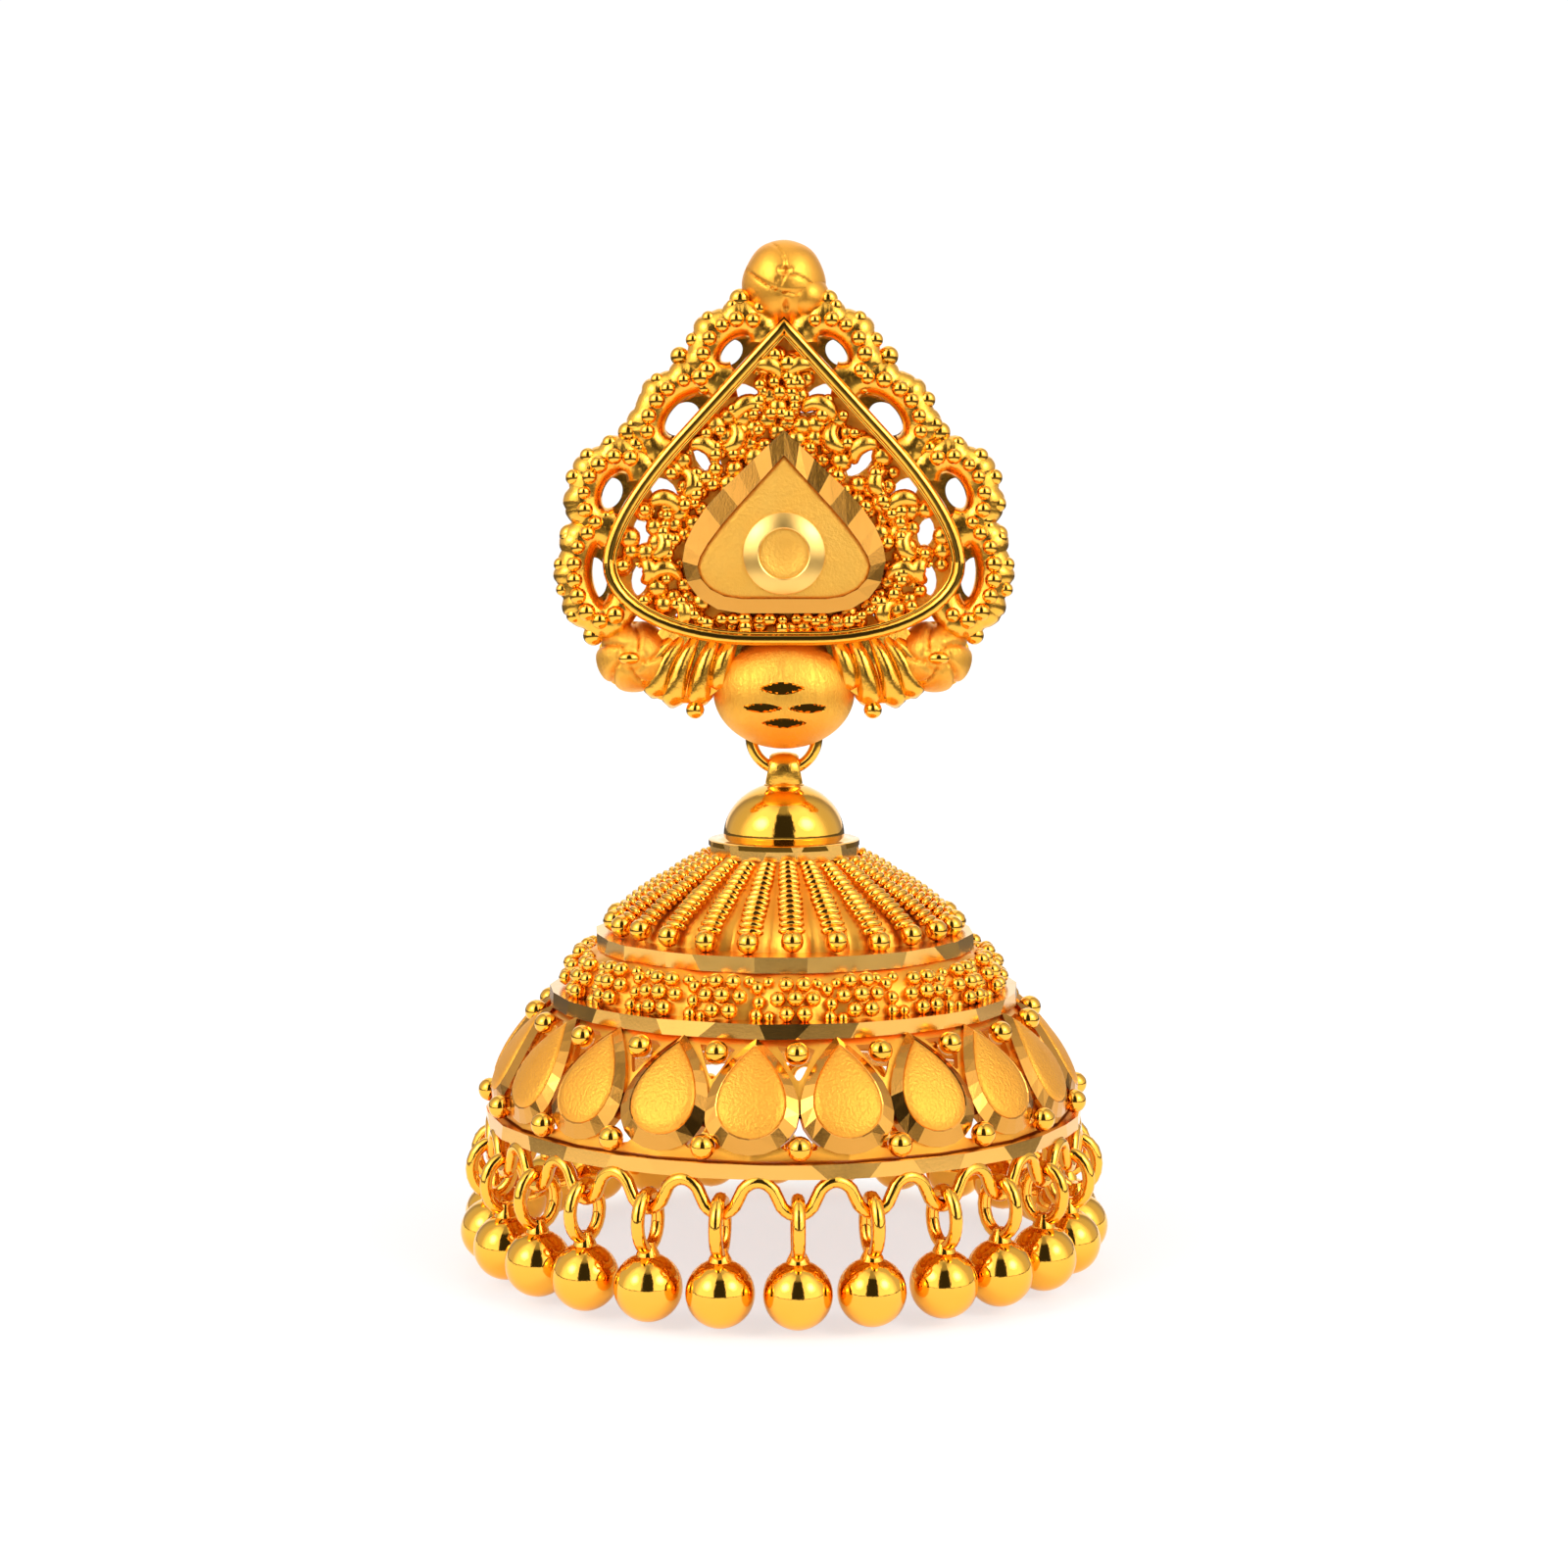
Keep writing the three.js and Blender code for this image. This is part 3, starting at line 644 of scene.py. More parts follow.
def makeBand(name, band):
    draw = random.Random(band["seed"])
    count = round(360 / band["facet"])
    top, foot = band["top"], band["foot"]
    middle = (top + foot) / 2
    planes = []
    for i in range(count):
        angle = math.radians(360 * (i + draw.uniform(*bandDrift["turn"])) / count)
        slope = math.tan(math.radians(draw.uniform(-1, 1) * band["lean"]))
        planes.append((angle, slope, band["radius"] * math.cos(math.pi / count) * draw.uniform(*bandDrift["radius"])))
    rows = []
    for isInner, z in ((False, foot), (False, top), (True, top), (True, foot)):
        row = []
        for first, second in zip(planes, planes[1:] + planes[:1]):
            near, far = [reach - slope * (z - middle) for angle, slope, reach in (first, second)]
            turn = second[0] - first[0]
            x = (near * math.cos(second[0]) - far * math.cos(first[0])) / -math.sin(turn)
            y = (far * math.sin(first[0]) - near * math.sin(second[0])) / -math.sin(turn)
            scale = band["inner"] / math.hypot(x, y) if isInner else 1
            row.append((x * scale, hangY - y * scale, z))
        rows.append(row)
    piece("dome", "band_" + name, skin(rows, closedRows=True), bandLooks[name], flat=True)


for bandName, band in bands.items():
    makeBand(bandName, band)
print("crown and bands ready")


def makeShell(name, part, lift, steps):
    # A turned wall between its skin and its inner line. lift(row, turn) raises the skin, and
    # the turn grows by one from each repeat to the next.
    profile = [(radius, domeTop - depth) for radius, depth in part["skin"] + part["inner"]]

    def raised(row, degrees):
        return lift(row, (degrees - part["phase"]) * part["count"] / 360) if row < len(part["skin"]) else 0

    piece("dome", name, revolve(profile, steps, closed=True, lift=raised), satin)


shoulder = {
    "skin": [(3.1, 2.72), (4.1, 3.35), (5.1, 4.05), (6.4, 4.95), (7.1, 5.55), (7.45, 6.2), (7.5, 6.52)],
    "inner": [(6.9, 6.5), (6.6, 5.75), (5.7, 5.0), (4.5, 4.3), (2.7, 3.1), (2.5, 2.75)],
    "count": 25, "phase": 2.8, "valley": 0.3, "valleyRows": 3,
    "crest": [(3.58, 2.96), (4.4, 3.38), (5.43, 4.02), (6.79, 4.86), (7.5, 5.42), (7.82, 5.95)]}
rib = {
    "rows": 14, "reach": 0.93, "topHalf": 0.37, "footHalf": 0.65, "along": 0.2, "thick": 0.34,
    "bead": 0.55, "beadAt": (7.95, 5.9)}


def makeShoulder():
    def valley(row, turn):
        share = abs(turn - math.floor(turn + 0.5)) * 2
        return -shoulder["valley"] * share ** 2 * min(1, row / shoulder["valleyRows"])

    makeShell("shoulder", shoulder, valley, steps=300)
    line = smoothLine(shoulder["crest"])
    grains = []
    for k in range(rib["rows"]):
        share = (k + 0.5) / rib["rows"] * rib["reach"]
        radius, depth, slope = profileAt(line, share, ahead=0.02)
        half = lerp(rib["topHalf"], rib["footHalf"], share ** 0.6)
        grains.append(grain((0, -radius, domeTop - depth), (half, rib["along"], rib["thick"]), slope))
    radius, depth = rib["beadAt"]
    grains.append(grain((0, -radius, domeTop - depth), rib["bead"]))
    wheel = wheelOf(shoulder, wobble=0.006, uneven=0.006, seed=8)
    beadPiece("dome", "shoulder_ribs", grains, wheel, detail=2, uneven=0.08, seed=3)


makeShoulder()
print("shoulder ready")


# the dome: flower band

# Fillers between flowers are (mm down, radius, size, mm sideways).
flowers = {
    "skin": [(8.2, 6.95), (8.62, 7.15), (9.05, 7.5), (9.4, 7.95), (9.65, 8.5), (9.8, 9.1), (9.8, 9.2)],
    "inner": [(9.2, 9.2), (9.0, 8.5), (8.6, 7.8), (7.9, 7.1)],
    "count": 20, "phase": 2.5, "swell": 0.32, "centre": (9.78, 8.1), "lean": 28,
    "bead": 0.36, "middle": 1.08, "middleProud": 0.22, "petals": 6, "ring": 0.77, "ringProud": 0.1,
    "fillers": [(-0.34, 9.36, 0.34, -0.05), (0.22, 9.7, 0.32, 0.07), (0.76, 9.9, 0.33, -0.04),
                (0.8, 9.96, 0.27, 0.56), (-0.58, 9.2, 0.29, 0.42), (-0.58, 9.2, 0.29, -0.44)]}


def makeFlowerBand():
    def swell(row, turn):
        share = 0.5 + 0.5 * math.cos(math.tau * turn)
        return flowers["swell"] * share ** 0.8 * math.sin(math.pi * row / (len(flowers["skin"]) - 1))

    makeShell("flower_band", flowers, swell, steps=320)
    radius, depth = flowers["centre"]
    lean = math.radians(flowers["lean"])

    def spot(across, down, out):
        # A place on a flower's leaning face, bowed round the dome.
        reach = radius + down * math.sin(lean) + out * math.cos(lean)
        z = domeTop - depth - down * math.cos(lean) + out * math.sin(lean)
        return (across, -reach + across ** 2 / (2 * radius), z)

    grains = [grain(spot(0, 0, flowers["middleProud"]), flowers["bead"] * flowers["middle"])]
    ring, petals = flowers["ring"], flowers["petals"]
    for k in range(petals):
        turn = math.radians(360 / petals * (k + 0.5))
        grains.append(grain(spot(ring * math.sin(turn), ring * math.cos(turn), flowers["ringProud"]), flowers["bead"]))
    for down, reach, size, shift in flowers["fillers"]:
        turn = math.pi / flowers["count"] + shift / reach
        grains.append(grain((reach * math.sin(turn), -reach * math.cos(turn), domeTop - depth - down), size))
    wheel = wheelOf(flowers, wobble=0.012, uneven=0.004, seed=12)
    beadPiece("dome", "flower_beads", grains, wheel, detail=2, uneven=0.07, seed=5)


makeFlowerBand()
print("flower band ready")


# the dome: teardrop gallery

# Frame and panel are levels of (scale of the outline, mm proud of the wall).
gallery = {
    "wall": [(10.72, 9.55), (11.5, 10.3), (12.5, 11.5), (13.1, 12.5), (13.45, 13.3), (13.66, 14.0), (13.74, 14.6),
             (13.76, 14.75)],
    "wallFrom": 0.001, "wallTo": 0.98,
    "count": 20, "phase": 12.0, "long": 5.5, "half": 2.06, "widest": 0.77, "start": 0.1,
    "scaleAt": 2.5, "scaleLong": 0.84, "frameSteps": 26, "panelSteps": 44,
    "frame": [(1, -0.4), (1, 0.02), (0.75, 0.24), (0.71, 0.19), (0.71, -0.4)],
    "panel": [(0.72, -0.32), (0.72, 0.21), (0.6789, 0.29), (0.5475, 0.315), (0.3285, 0.34), (0.1095, 0.35)],
    "webLong": 5.85, "webSteps": 12, "webBack": -0.18, "webFront": -0.5,
    "holes": [[(-0.85, 0.45), (-0.5, 1.3), (-0.12, 2.1), (0.0, 2.2), (0.12, 2.1), (0.5, 1.3), (0.85, 0.45)],
              [(0.0, 3.55), (0.35, 4.1), (0.95, 5.1), (0.6, 5.45), (-0.6, 5.45), (-0.95, 5.1), (-0.35, 4.1)]],
    "bead": 0.55, "beadProud": 0.15, "beadsAt": (1.05, 5.3)}


def makeWallPlace():
    line = smoothLine(gallery["wall"])
    length = sum(math.dist(a, b) for a, b in zip(line, line[1:]))

    def place(across, down, out):
        # From a place on the flat wall (mm across, mm down from its top, mm proud) to the dome.
        share = min(max(down / length, gallery["wallFrom"]), gallery["wallTo"])
        radius, depth, slope = profileAt(line, share, ahead=0.015)
        radius += out * math.sin(slope)
        depth -= out * math.cos(slope)
        turn = across / radius
        return (radius * math.sin(turn), -radius * math.cos(turn), domeTop - depth)

    return place


wallPlace = makeWallPlace()


def teardropSkin(levels, steps, **how):
    rows = []
    long, centre = gallery["long"], gallery["scaleAt"]
    for factor, out in levels:
        stretch = 1 - (1 - factor) * gallery["scaleLong"]
        row = []
        for turn in turns(steps):
            wide = gallery["half"] / gallery["widest"] * math.sin(turn) * math.sin(min(turn, math.tau - turn) / 2)
            down = long * (1 - math.cos(turn)) / 2
            row.append(wallPlace(wide * factor, centre + (down - centre) * stretch + gallery["start"], out))
        rows.append(row)
    return skin(rows, **how)


def makeLiner(wheel):
    # The web behind the teardrops, with an opening above and below each pair's touching point.
    edge = math.pi / gallery["count"]
    steps = gallery["webSteps"]
    outline = []
    for side, order in ((1, range(steps + 1)), (-1, range(steps, -1, -1))):
        for k in order:
            down = gallery["webLong"] * k / steps
            x, y, z = wallPlace(0, down, 0)
            outline.append((side * math.hypot(x, y) * edge, down))
    holes = [smoothLine(hole + [hole[0]], 1)[:-1] for hole in gallery["holes"]]
    points, faces = pierced(outline, holes, gallery["webBack"], gallery["webFront"])
    shape = ([wallPlace(x, z, y) for x, y, z in points], faces)
    turned = {**wheel, "Phase": wheel["Phase"] + edge, "Wobble": 0.0}
    growRound("dome", "gallery_web", shape, satin, turned, crease=25)


def makeGallery():
    wheel = wheelOf(gallery, wobble=0.008, seed=6)
    shape = teardropSkin(gallery["frame"], gallery["frameSteps"], closedRows=True)
    # The frames take the darker copy of the cut gold, painted shade.
    growRound("dome", "teardrop_frames", shape, shadedCut, wheel, flat=True)
    shape = teardropSkin(gallery["panel"], gallery["panelSteps"], ends=True)
    growRound("dome", "teardrop_panels", shape, matte, wheel, crease=50)
    makeLiner(wheel)
    pitch = math.pi / gallery["count"]
    grains = []
    for down in gallery["beadsAt"]:
        x, y, z = wallPlace(0, down, gallery["beadProud"])
        reach = math.hypot(x, y)
        grains.append(grain((reach * math.sin(pitch), -reach * math.cos(pitch), z), gallery["bead"]))
    beadPiece("dome", "gallery_beads", grains, wheel, uneven=0.04, seed=2)


makeGallery()
print("gallery ready")


# hanging parts: scallop wire, ball drops, bail and link ring

# Nib and collar are (radius, rise above the ball's foot or the collar's foot).
drops = {
    "count": 26, "phase": 2.35, "circle": 13.72, "ball": 1.5, "ballZ": -33.2, "ballRows": 20,
    "ringZ": -30.29, "ringHalf": (0.94, 1.2), "ringWire": 0.3,
    "nib": [(0, -0.04), (0.09, -0.03), (0.13, 0.01)], "collarSunk": 0.1,
    "collar": [(0.52, 0), (0.494, 0.12), (0.34, 0.42), (0.3, 0.6), (0, 0.62)],
    "wire": 0.29, "peak": -28.3, "trough": -29.74, "waveSteps": 20}


def makeScallop():
    path = []
    perWave = drops["waveSteps"]
    for k in range(drops["count"] * perWave):
        degrees = drops["phase"] + 360 * k / (drops["count"] * perWave)
        swing = math.cos(math.tau * k / perWave)
        wave = 0.5 + 0.5 * math.copysign(abs(swing) ** 0.6, swing)
        path.append(roundAt(drops["circle"], degrees, lerp(drops["peak"], drops["trough"], wave)))
    piece("dome", "scallop_wire", sweep(path, drops["wire"], closed=True, up=(0, 0, 1)), polished, crease=60)


def makeBallDrops():
    circle, size, ballZ = drops["circle"], drops["ball"], drops["ballZ"]
    half, high = drops["ringHalf"]
    path = [(0, -circle + u, drops["ringZ"] + v) for u, v in oval(20, half, high)]
    ring = sweep(path, drops["ringWire"], closed=True, up=(1, 0, 0))
    profile = [(radius, ballZ - size + rise) for radius, rise in drops["nib"]]
    for k in range(1, drops["ballRows"]):
        turn = math.pi * k / drops["ballRows"]
        if size * math.sin(turn) > drops["collar"][0][0] * 0.9 or turn < 1:
            profile.append((size * math.sin(turn), ballZ - size * math.cos(turn)))
    collarFoot = ballZ + size - drops["collarSunk"]
    profile += [(radius, collarFoot + rise) for radius, rise in drops["collar"]]
    points, faces = revolve(profile, 32, axisY=0)
    shape = joined(ring, ([(x, y - circle, z) for x, y, z in points], faces))
    stands = [name for name in nodes if name.startswith("ball_drop")]
    wheel = wheelOf(drops, wobble=0.006, seed=4)
    growRound("drops", "ball_drops", shape, polished, wheel, *stands, crease=40)


makeScallop()
makeBallDrops()
print("drops ready")

link = {"radius": 1.525, "wire": 0.275, "z": -10.4, "pivot": -11.925}
# Legs are (share of the loop's radius, z). The section is (across, out) in half widths and thicknesses.
strap = {
    "bore": 0.46, "outer": 0.74, "topHalf": 0.7, "footHalf": 0.86, "bends": 24,
    "legs": [(0.98, -12.125), (0.92, -12.345), (0.86, -12.52)],
    "section": [(0.9, -1), (1, -0.6), (0.97, 0.4), (0.8, 1.1), (0.4, 1.6), (0, 1.75),
                (-0.4, 1.6), (-0.8, 1.1), (-0.97, 0.4), (-1, -0.6), (-0.9, -1)],
    "neck": [(0, -12.8), (0.98, -12.8), (0.94, -12.62), (0.84, -12.56), (0.8, -12.5), (0.76, -12.43), (0, -12.42)]}


def makeLink():
    path = [(u, hangY, link["z"] + v) for u, v in oval(72, link["radius"], link["radius"])]
    ring = sweep(path, link["wire"], sides=16, closed=True, up=(0, 1, 0))
    piece("ring", "link_ring_wire", ring, polished, "link_ring", crease=60)


def makeBail():
    # A strap folded over the ring, widening to a lip, on a short neck.
    middle = (strap["bore"] + strap["outer"]) / 2
    thick = (strap["outer"] - strap["bore"]) / 2
    top, foot = link["pivot"] + middle, strap["legs"][-1][1]
    bend = oval(strap["bends"] * 2, middle, middle)[:strap["bends"] + 1]
    front = [(hangY - middle * share, z) for share, z in strap["legs"]]
    back = [(2 * hangY - y, z) for y, z in reversed(front)]
    path = back + [(hangY + u, link["pivot"] + v) for u, v in bend] + front
    rows = []
    for i, (y, z) in enumerate(path):
        half = lerp(strap["topHalf"], strap["footHalf"], min(max((top - z) / (top - foot), 0), 1) ** 1.6)
        before, after = path[max(0, i - 1)], path[min(len(path) - 1, i + 1)]
        run = Vector((0, after[0] - before[0], after[1] - before[1])).normalized()
        out = Vector((0, run.z, -run.y))
        rows.append([Vector((u * half, y, z)) + out * (v * thick) for u, v in strap["section"]])
    piece("dome", "bail", joined(skin(rows, ends=True), revolve(strap["neck"], 40)), soft, crease=60)


makeLink()
makeBail()
print("link and bail ready")


# the stud: outline, rim and pierced ground

spade = {
    "apexZ": 8.95, "flankX": 4.95, "flankZ": 3.55, "bellyX": 8.33, "bellyZ": -2.3, "footX": 1.5, "footZ": -6.1}
plaqueEdge = {
    "apexZ": 3.73, "flankX": 2.75, "flankZ": 1.1, "bellyX": 4.62, "bellyZ": -2.2, "footX": 2.0, "footZ": -4.55}
plaqueInner = {
    "apexZ": 2.6, "flankX": 2.1, "flankZ": 0.3, "bellyX": 3.93, "bellyZ": -2.4, "footX": 1.9, "footZ": -3.9}
# Points on a flank, round a side and along half the foot of an outline.
spadeSteps = {
    "fine": (18, 26, 14), "middle": (14, 16, 10), "coarse": (10, 12, 8), "smooth": (12, 14, 12), "cut": (4, 8, 2)}
bendPulls = (0.63, 0.56)


def bendLine(start, corner, end, pull, steps):
    # A quarter bend from start to end that leaves and arrives along the lines to the corner.
    pulled = [[lerp(a, b, pull) for a, b in zip(place, corner)] for place in (start, end)]
    knots = [start, *pulled, end]
    line = []
    for k in range(steps):
        t = k / steps
        weights = ((1 - t) ** 3, 3 * t * (1 - t) ** 2, 3 * t * t * (1 - t), t ** 3)
        line.append(tuple(sum(w * knot[i] for w, knot in zip(weights, knots)) for i in (0, 1)))
    return line


def spadeLine(outline, detail, inset=0):
    # The closed spade as (x, z) places, from its apex down the right side and back.
    apexZ, flankX, flankZ, bellyX, bellyZ, footX, footZ = outline.values()
    rise = apexZ - flankZ
    slant = math.hypot(flankX, rise)
    apexZ, flankZ = apexZ - inset * slant / flankX, flankZ - inset * flankX / slant
    flankX, bellyX, footX, footZ = flankX - inset * rise / slant, bellyX - inset, footX - inset / 3, footZ + inset
    straight, curve, foot = spadeSteps[detail]
    corner = (bellyX, apexZ - (apexZ - flankZ) / flankX * bellyX)
    right = [(flankX * k / straight, lerp(apexZ, flankZ, k / straight)) for k in range(straight)]
    right += bendLine((flankX, flankZ), corner, (bellyX, bellyZ), bendPulls[0], curve // 2)
    right += bendLine((bellyX, bellyZ), (bellyX, footZ), (footX, footZ), bendPulls[1], curve - curve // 2)
    right += [(footX * (1 - k / foot), footZ) for k in range(foot)]
    return right + [(0, footZ)] + [(-x, z) for x, z in reversed(right[1:])]


def layered(levels, solid=False):
    # Skins a stack of equal outlines, each (list of (x, z), y), as a hollow wall or a solid.
    rows = [[(x, y, z) for x, z in outline] for outline, y in levels]
    return skin(rows, closedRows=not solid, ends=solid)


# The rim is a wall with a round wire soldered along each of its edges, each (inset, radius, y).
rimWall = {"wires": ((0.34, 0.28, -1.84), (0.64, 0.08, -1.92)), "outer": 0.08, "inner": 0.66, "front": -1.88}


def makeRim():
    shapes = []
    for inset, wire, y in rimWall["wires"]:
        shapes.append(sweep([(x, y, z) for x, z in spadeLine(spade, "fine", inset)], wire, sides=14, closed=True))
    outer, inner = [spadeLine(spade, "fine", rimWall[edge]) for edge in ("outer", "inner")]
    front = rimWall["front"]
    shapes.append(layered([(outer, 0), (outer, front), (inner, front), (inner, 0)]))
    piece("stud", "spade_rim", joined(*shapes), polished, "stud", crease=50)


makeRim()

# Leaf-shaped openings in the ground: x, z, length, width, turn. The other side mirrors them.
filigree = {
    "back": -0.45, "front": -1.3, "inset": 0.5,
    "gaps": [(1.5, 5.2, 2.0, 0.9, -40), (3.5, 2.5, 2.0, 1.0, -55), (5.5, 1.0, 1.6, 1.0, -40),
             (6.5, -0.9, 1.4, 0.8, -80), (6.6, -3.0, 1.6, 0.8, -100), (4.6, -4.75, 1.4, 0.6, -150)]}
# Lumps are strewn over square cells. Each kind is (seed, spacing, smallest, largest, lift, material).
lumps = {
    "cell": 0.25, "from": (-8, -6), "span": (16, 14), "inset": 0.9, "plaqueInset": -0.1, "margin": (0.6, 0.5),
    "sunk": 0.05, "density": 4e7,
    "kinds": {"ground_lumps": (7, 0.62, 0.3, 0.58, 0, soft), "ground_grains": (19, 1.5, 0.28, 0.36, 0.42, polished)}}


def turned(x, z, u, v, degrees):
    # The place (u, v) from (x, z) along axes turned by some degrees.
    turn = math.radians(degrees)
    return (x + u * math.cos(turn) - v * math.sin(turn), z + u * math.sin(turn) + v * math.cos(turn))


def leafLines(longer=0, wider=0):
    # The outlines of all openings, with room to spare.
    lines = []
    for x, z, long, wide, lean in filigree["gaps"]:
        for side in (1, -1):
            line = []
            for turn in turns(14):
                u = (long + longer) / 2 * math.cos(turn)
                v = (wide + wider) / 2 * math.sin(turn) * abs(math.sin(turn)) ** 0.4
                line.append(turned(side * x, z, u, v, -side * lean))
            lines.append(line)
    return lines


def makeGroundPlate():
    plate = pierced(
        spadeLine(spade, "coarse", filigree["inset"]), leafLines(), filigree["back"], filigree["front"])
    piece("stud", "filigree_ground", plate, matte, crease=30)
    # The cells that show: inside the rim, clear of the plaque and the openings.
    cells = []
    cell = lumps["cell"]
    rim = spadeLine(spade, "coarse", lumps["inset"])
    clear = [spadeLine(plaqueEdge, "coarse", lumps["plaqueInset"])] + leafLines(*lumps["margin"])
    for i in range(round(lumps["span"][0] / cell)):
        for k in range(round(lumps["span"][1] / cell)):
            x, z = [start + (step + 0.5) * cell for start, step in zip(lumps["from"], (i, k))]
            if isInside((x, z), rim) and not any(isInside((x, z), line) for line in clear):
                y = filigree["front"] - lumps["sunk"]
                cells.append(([(x + u * cell / 2, y, z + v * cell / 2) for u, v in corners], [(0, 1, 2, 3)]))
    for name, (seed, spacing, small, large, lift, material) in lumps["kinds"].items():
        host = makeObject(name, joined(*cells), material)
        for vertex in host.data.vertices:
            vertex.co.y -= lift * mm
        grow(host, (scatterTree, {
            "Spacing": spacing * mm, "Density": lumps["density"], "Smallest": small, "Largest": large,
            "Seed": seed, "Material": material}))
        finishPiece(host, "stud")


makeGroundPlate()
print("rim and ground ready")

# Curling stems on the ground are (centre x, z, radius, from, to in degrees), beads (x, z, size),
# and rows of beads (from, to, count).
stems = {
    "wire": 0.38, "y": -1.5, "bow": 0.25, "steps": 16, "close": 0.55,
    "curls": [(0.9, 6.2, 0.7, 200, 20), (1.6, 4.3, 0.8, 160, -40), (2.6, 3.4, 0.6, 100, 330),
              (3.9, 2.6, 0.75, 210, 20), (4.6, 1.3, 0.6, 80, 300), (5.6, 0.1, 0.75, 200, 0), (5.9, -1.5, 0.6, 90, 320),
              (5.5, -3.1, 0.75, 180, -30), (4.9, -4.6, 0.5, 60, 300), (6.5, -2.6, 0.5, 270, 60)],
    "beadY": -1.75, "rowY": -1.72, "seed": 31, "rowSize": (0.24, 0.33), "drift": (0.09, 0.06, 0.12),
    "beads": [(0.2, 6.75, 0.42), (-0.45, 5.9, 0.3), (0.6, 6.0, 0.3), (-0.2, 5.45, 0.32), (-0.6, 4.5, 0.32),
              (-0.1, 4.5, 0.3), (-2.2, 4.6, 0.3), (2.0, 5.1, 0.26), (2.7, 4.4, 0.26), (3.2, 3.6, 0.26),
              (-2.9, 3.7, 0.28), (-3.3, 3.1, 0.28)],
    "rows": [((-3.0, 3.2), (-3.2, 1.1), 6), ((-3.9, 2.0), (-4.1, 0.3), 5), ((-5.3, 0.8), (-5.5, -1.5), 6),
             ((-5.0, -1.0), (-5.4, -3.2), 6), ((4.1, 1.7), (4.9, -0.2), 6), ((5.2, 0.5), (5.4, -1.3), 5),
             ((5.7, -2.0), (5.0, -3.8), 6), ((-4.8, -3.9), (-3.6, -5.0), 4), ((4.6, -4.0), (3.2, -4.95), 5),
             ((-3.2, -4.8), (3.2, -4.8), 11), ((0.2, 6.3), (0.5, 4.6), 5), ((-0.9, 5.6), (-1.5, 4.3), 4)]}


def makeStems():
    shapes = []
    steps = stems["steps"]
    for x, z, radius, begin, end in stems["curls"]:
        for side in (-1, 1):
            path = []
            widths = []
            for k in range(steps + 1):
                t = k / steps
                turn = math.radians(lerp(begin, end, t))
                reach = radius * lerp(1.0, stems["close"], t)
                y = stems["y"] - stems["bow"] * math.sin(math.pi * t)
                path.append((side * (x + reach * math.cos(turn)), y, z + reach * math.sin(turn)))
                swell = 0.35 + 0.75 * math.sin(math.pi * min(1, t * 1.15)) ** 0.6 if k < steps else 0.5
                widths.append(stems["wire"] * swell)
            shapes.append(sweep(path, widths, sides=8))
    piece("stud", "ground_stems", joined(*shapes), soft, crease=60)
    grains = [grain((x, stems["beadY"], z), size) for x, z, size in stems["beads"]]
    draw = random.Random(stems["seed"])
    driftX, driftZ, driftY = stems["drift"]
    for (x1, z1), (x2, z2), count in stems["rows"]:
        for k in range(count):
            t = (k + 0.5) / count
            x = lerp(x1, x2, t) + draw.uniform(-driftX, driftX)
            z = lerp(z1, z2, t) + draw.uniform(-driftZ, driftZ)
            y = stems["rowY"] + draw.uniform(-driftY, driftY)
            grains.append(grain((x, y, z), draw.uniform(*stems["rowSize"])))
    beadPiece("stud", "ground_beads", grains, uneven=0.06, seed=9)


makeStems()
print("stems ready")


# the stud: scroll border

# Left-hand loops as x, z, half length, half width and turn of the opening; the right mirrors them.
# Bead rows are (offset from the loop's middle line, size, step, y, share kept).
border = {
    "loops": [(-2.25, 7.4, 0.85, 0.45, 40), (-4.4, 4.4, 1.3, 0.75, 40), (-7.75, 1.0, 0.95, 0.55, 60),
              (-8.4, -2.85, 1.35, 0.45, 95)],
    "lap": 0.08, "half": 0.86, "deep": 0.86, "sides": 18, "y": -0.84, "pitch": 1.5, "crimp": 0.09,
    "chase": 0.13, "chasePitch": 0.62, "wall": 0.3, "clear": -0.32, "seed": 27,
    "rows": [(-0.06, 0.37, 0.8, -1.66, 1.0), (0.6, 0.34, 0.86, -1.2, 0.75)],
    "rowDrift": 0.06, "rowSizes": (0.88, 1.1),
    "plateBack": -0.12, "plateFront": -0.42, "hole": 0.43, "sag": (0.28, -0.12),
    "edge": [(-2.0, 9.65), (-4.75, 7.1), (-7.1, 3.65), (-9.8, -1.0), (-8.75, -5.6)], "edgeY": -0.95, "edgeBead": 0.47}


def loopLine(x, z, long, short, lean, side, steps):
    reach = border["half"] - border["lap"]
    line = [turned(x, z, u, v, lean) for u, v in oval(steps, long + reach, short + reach)]
    return [(-side * placeX, placeZ) for placeX, placeZ in line]


def shownRun(line, wall):
    # The run of a loop that lies outside the wall, and whether that is all of it.
    outside = [not isInside(place, wall) for place in line]
    start = next((i for i in range(len(line)) if outside[i] and not outside[i - 1]), 0)
    path = []
    for k in range(len(line)):
        i = (start + k) % len(line)
        if not outside[i]:
            break
        path.append(line[i])
    return path, all(outside)


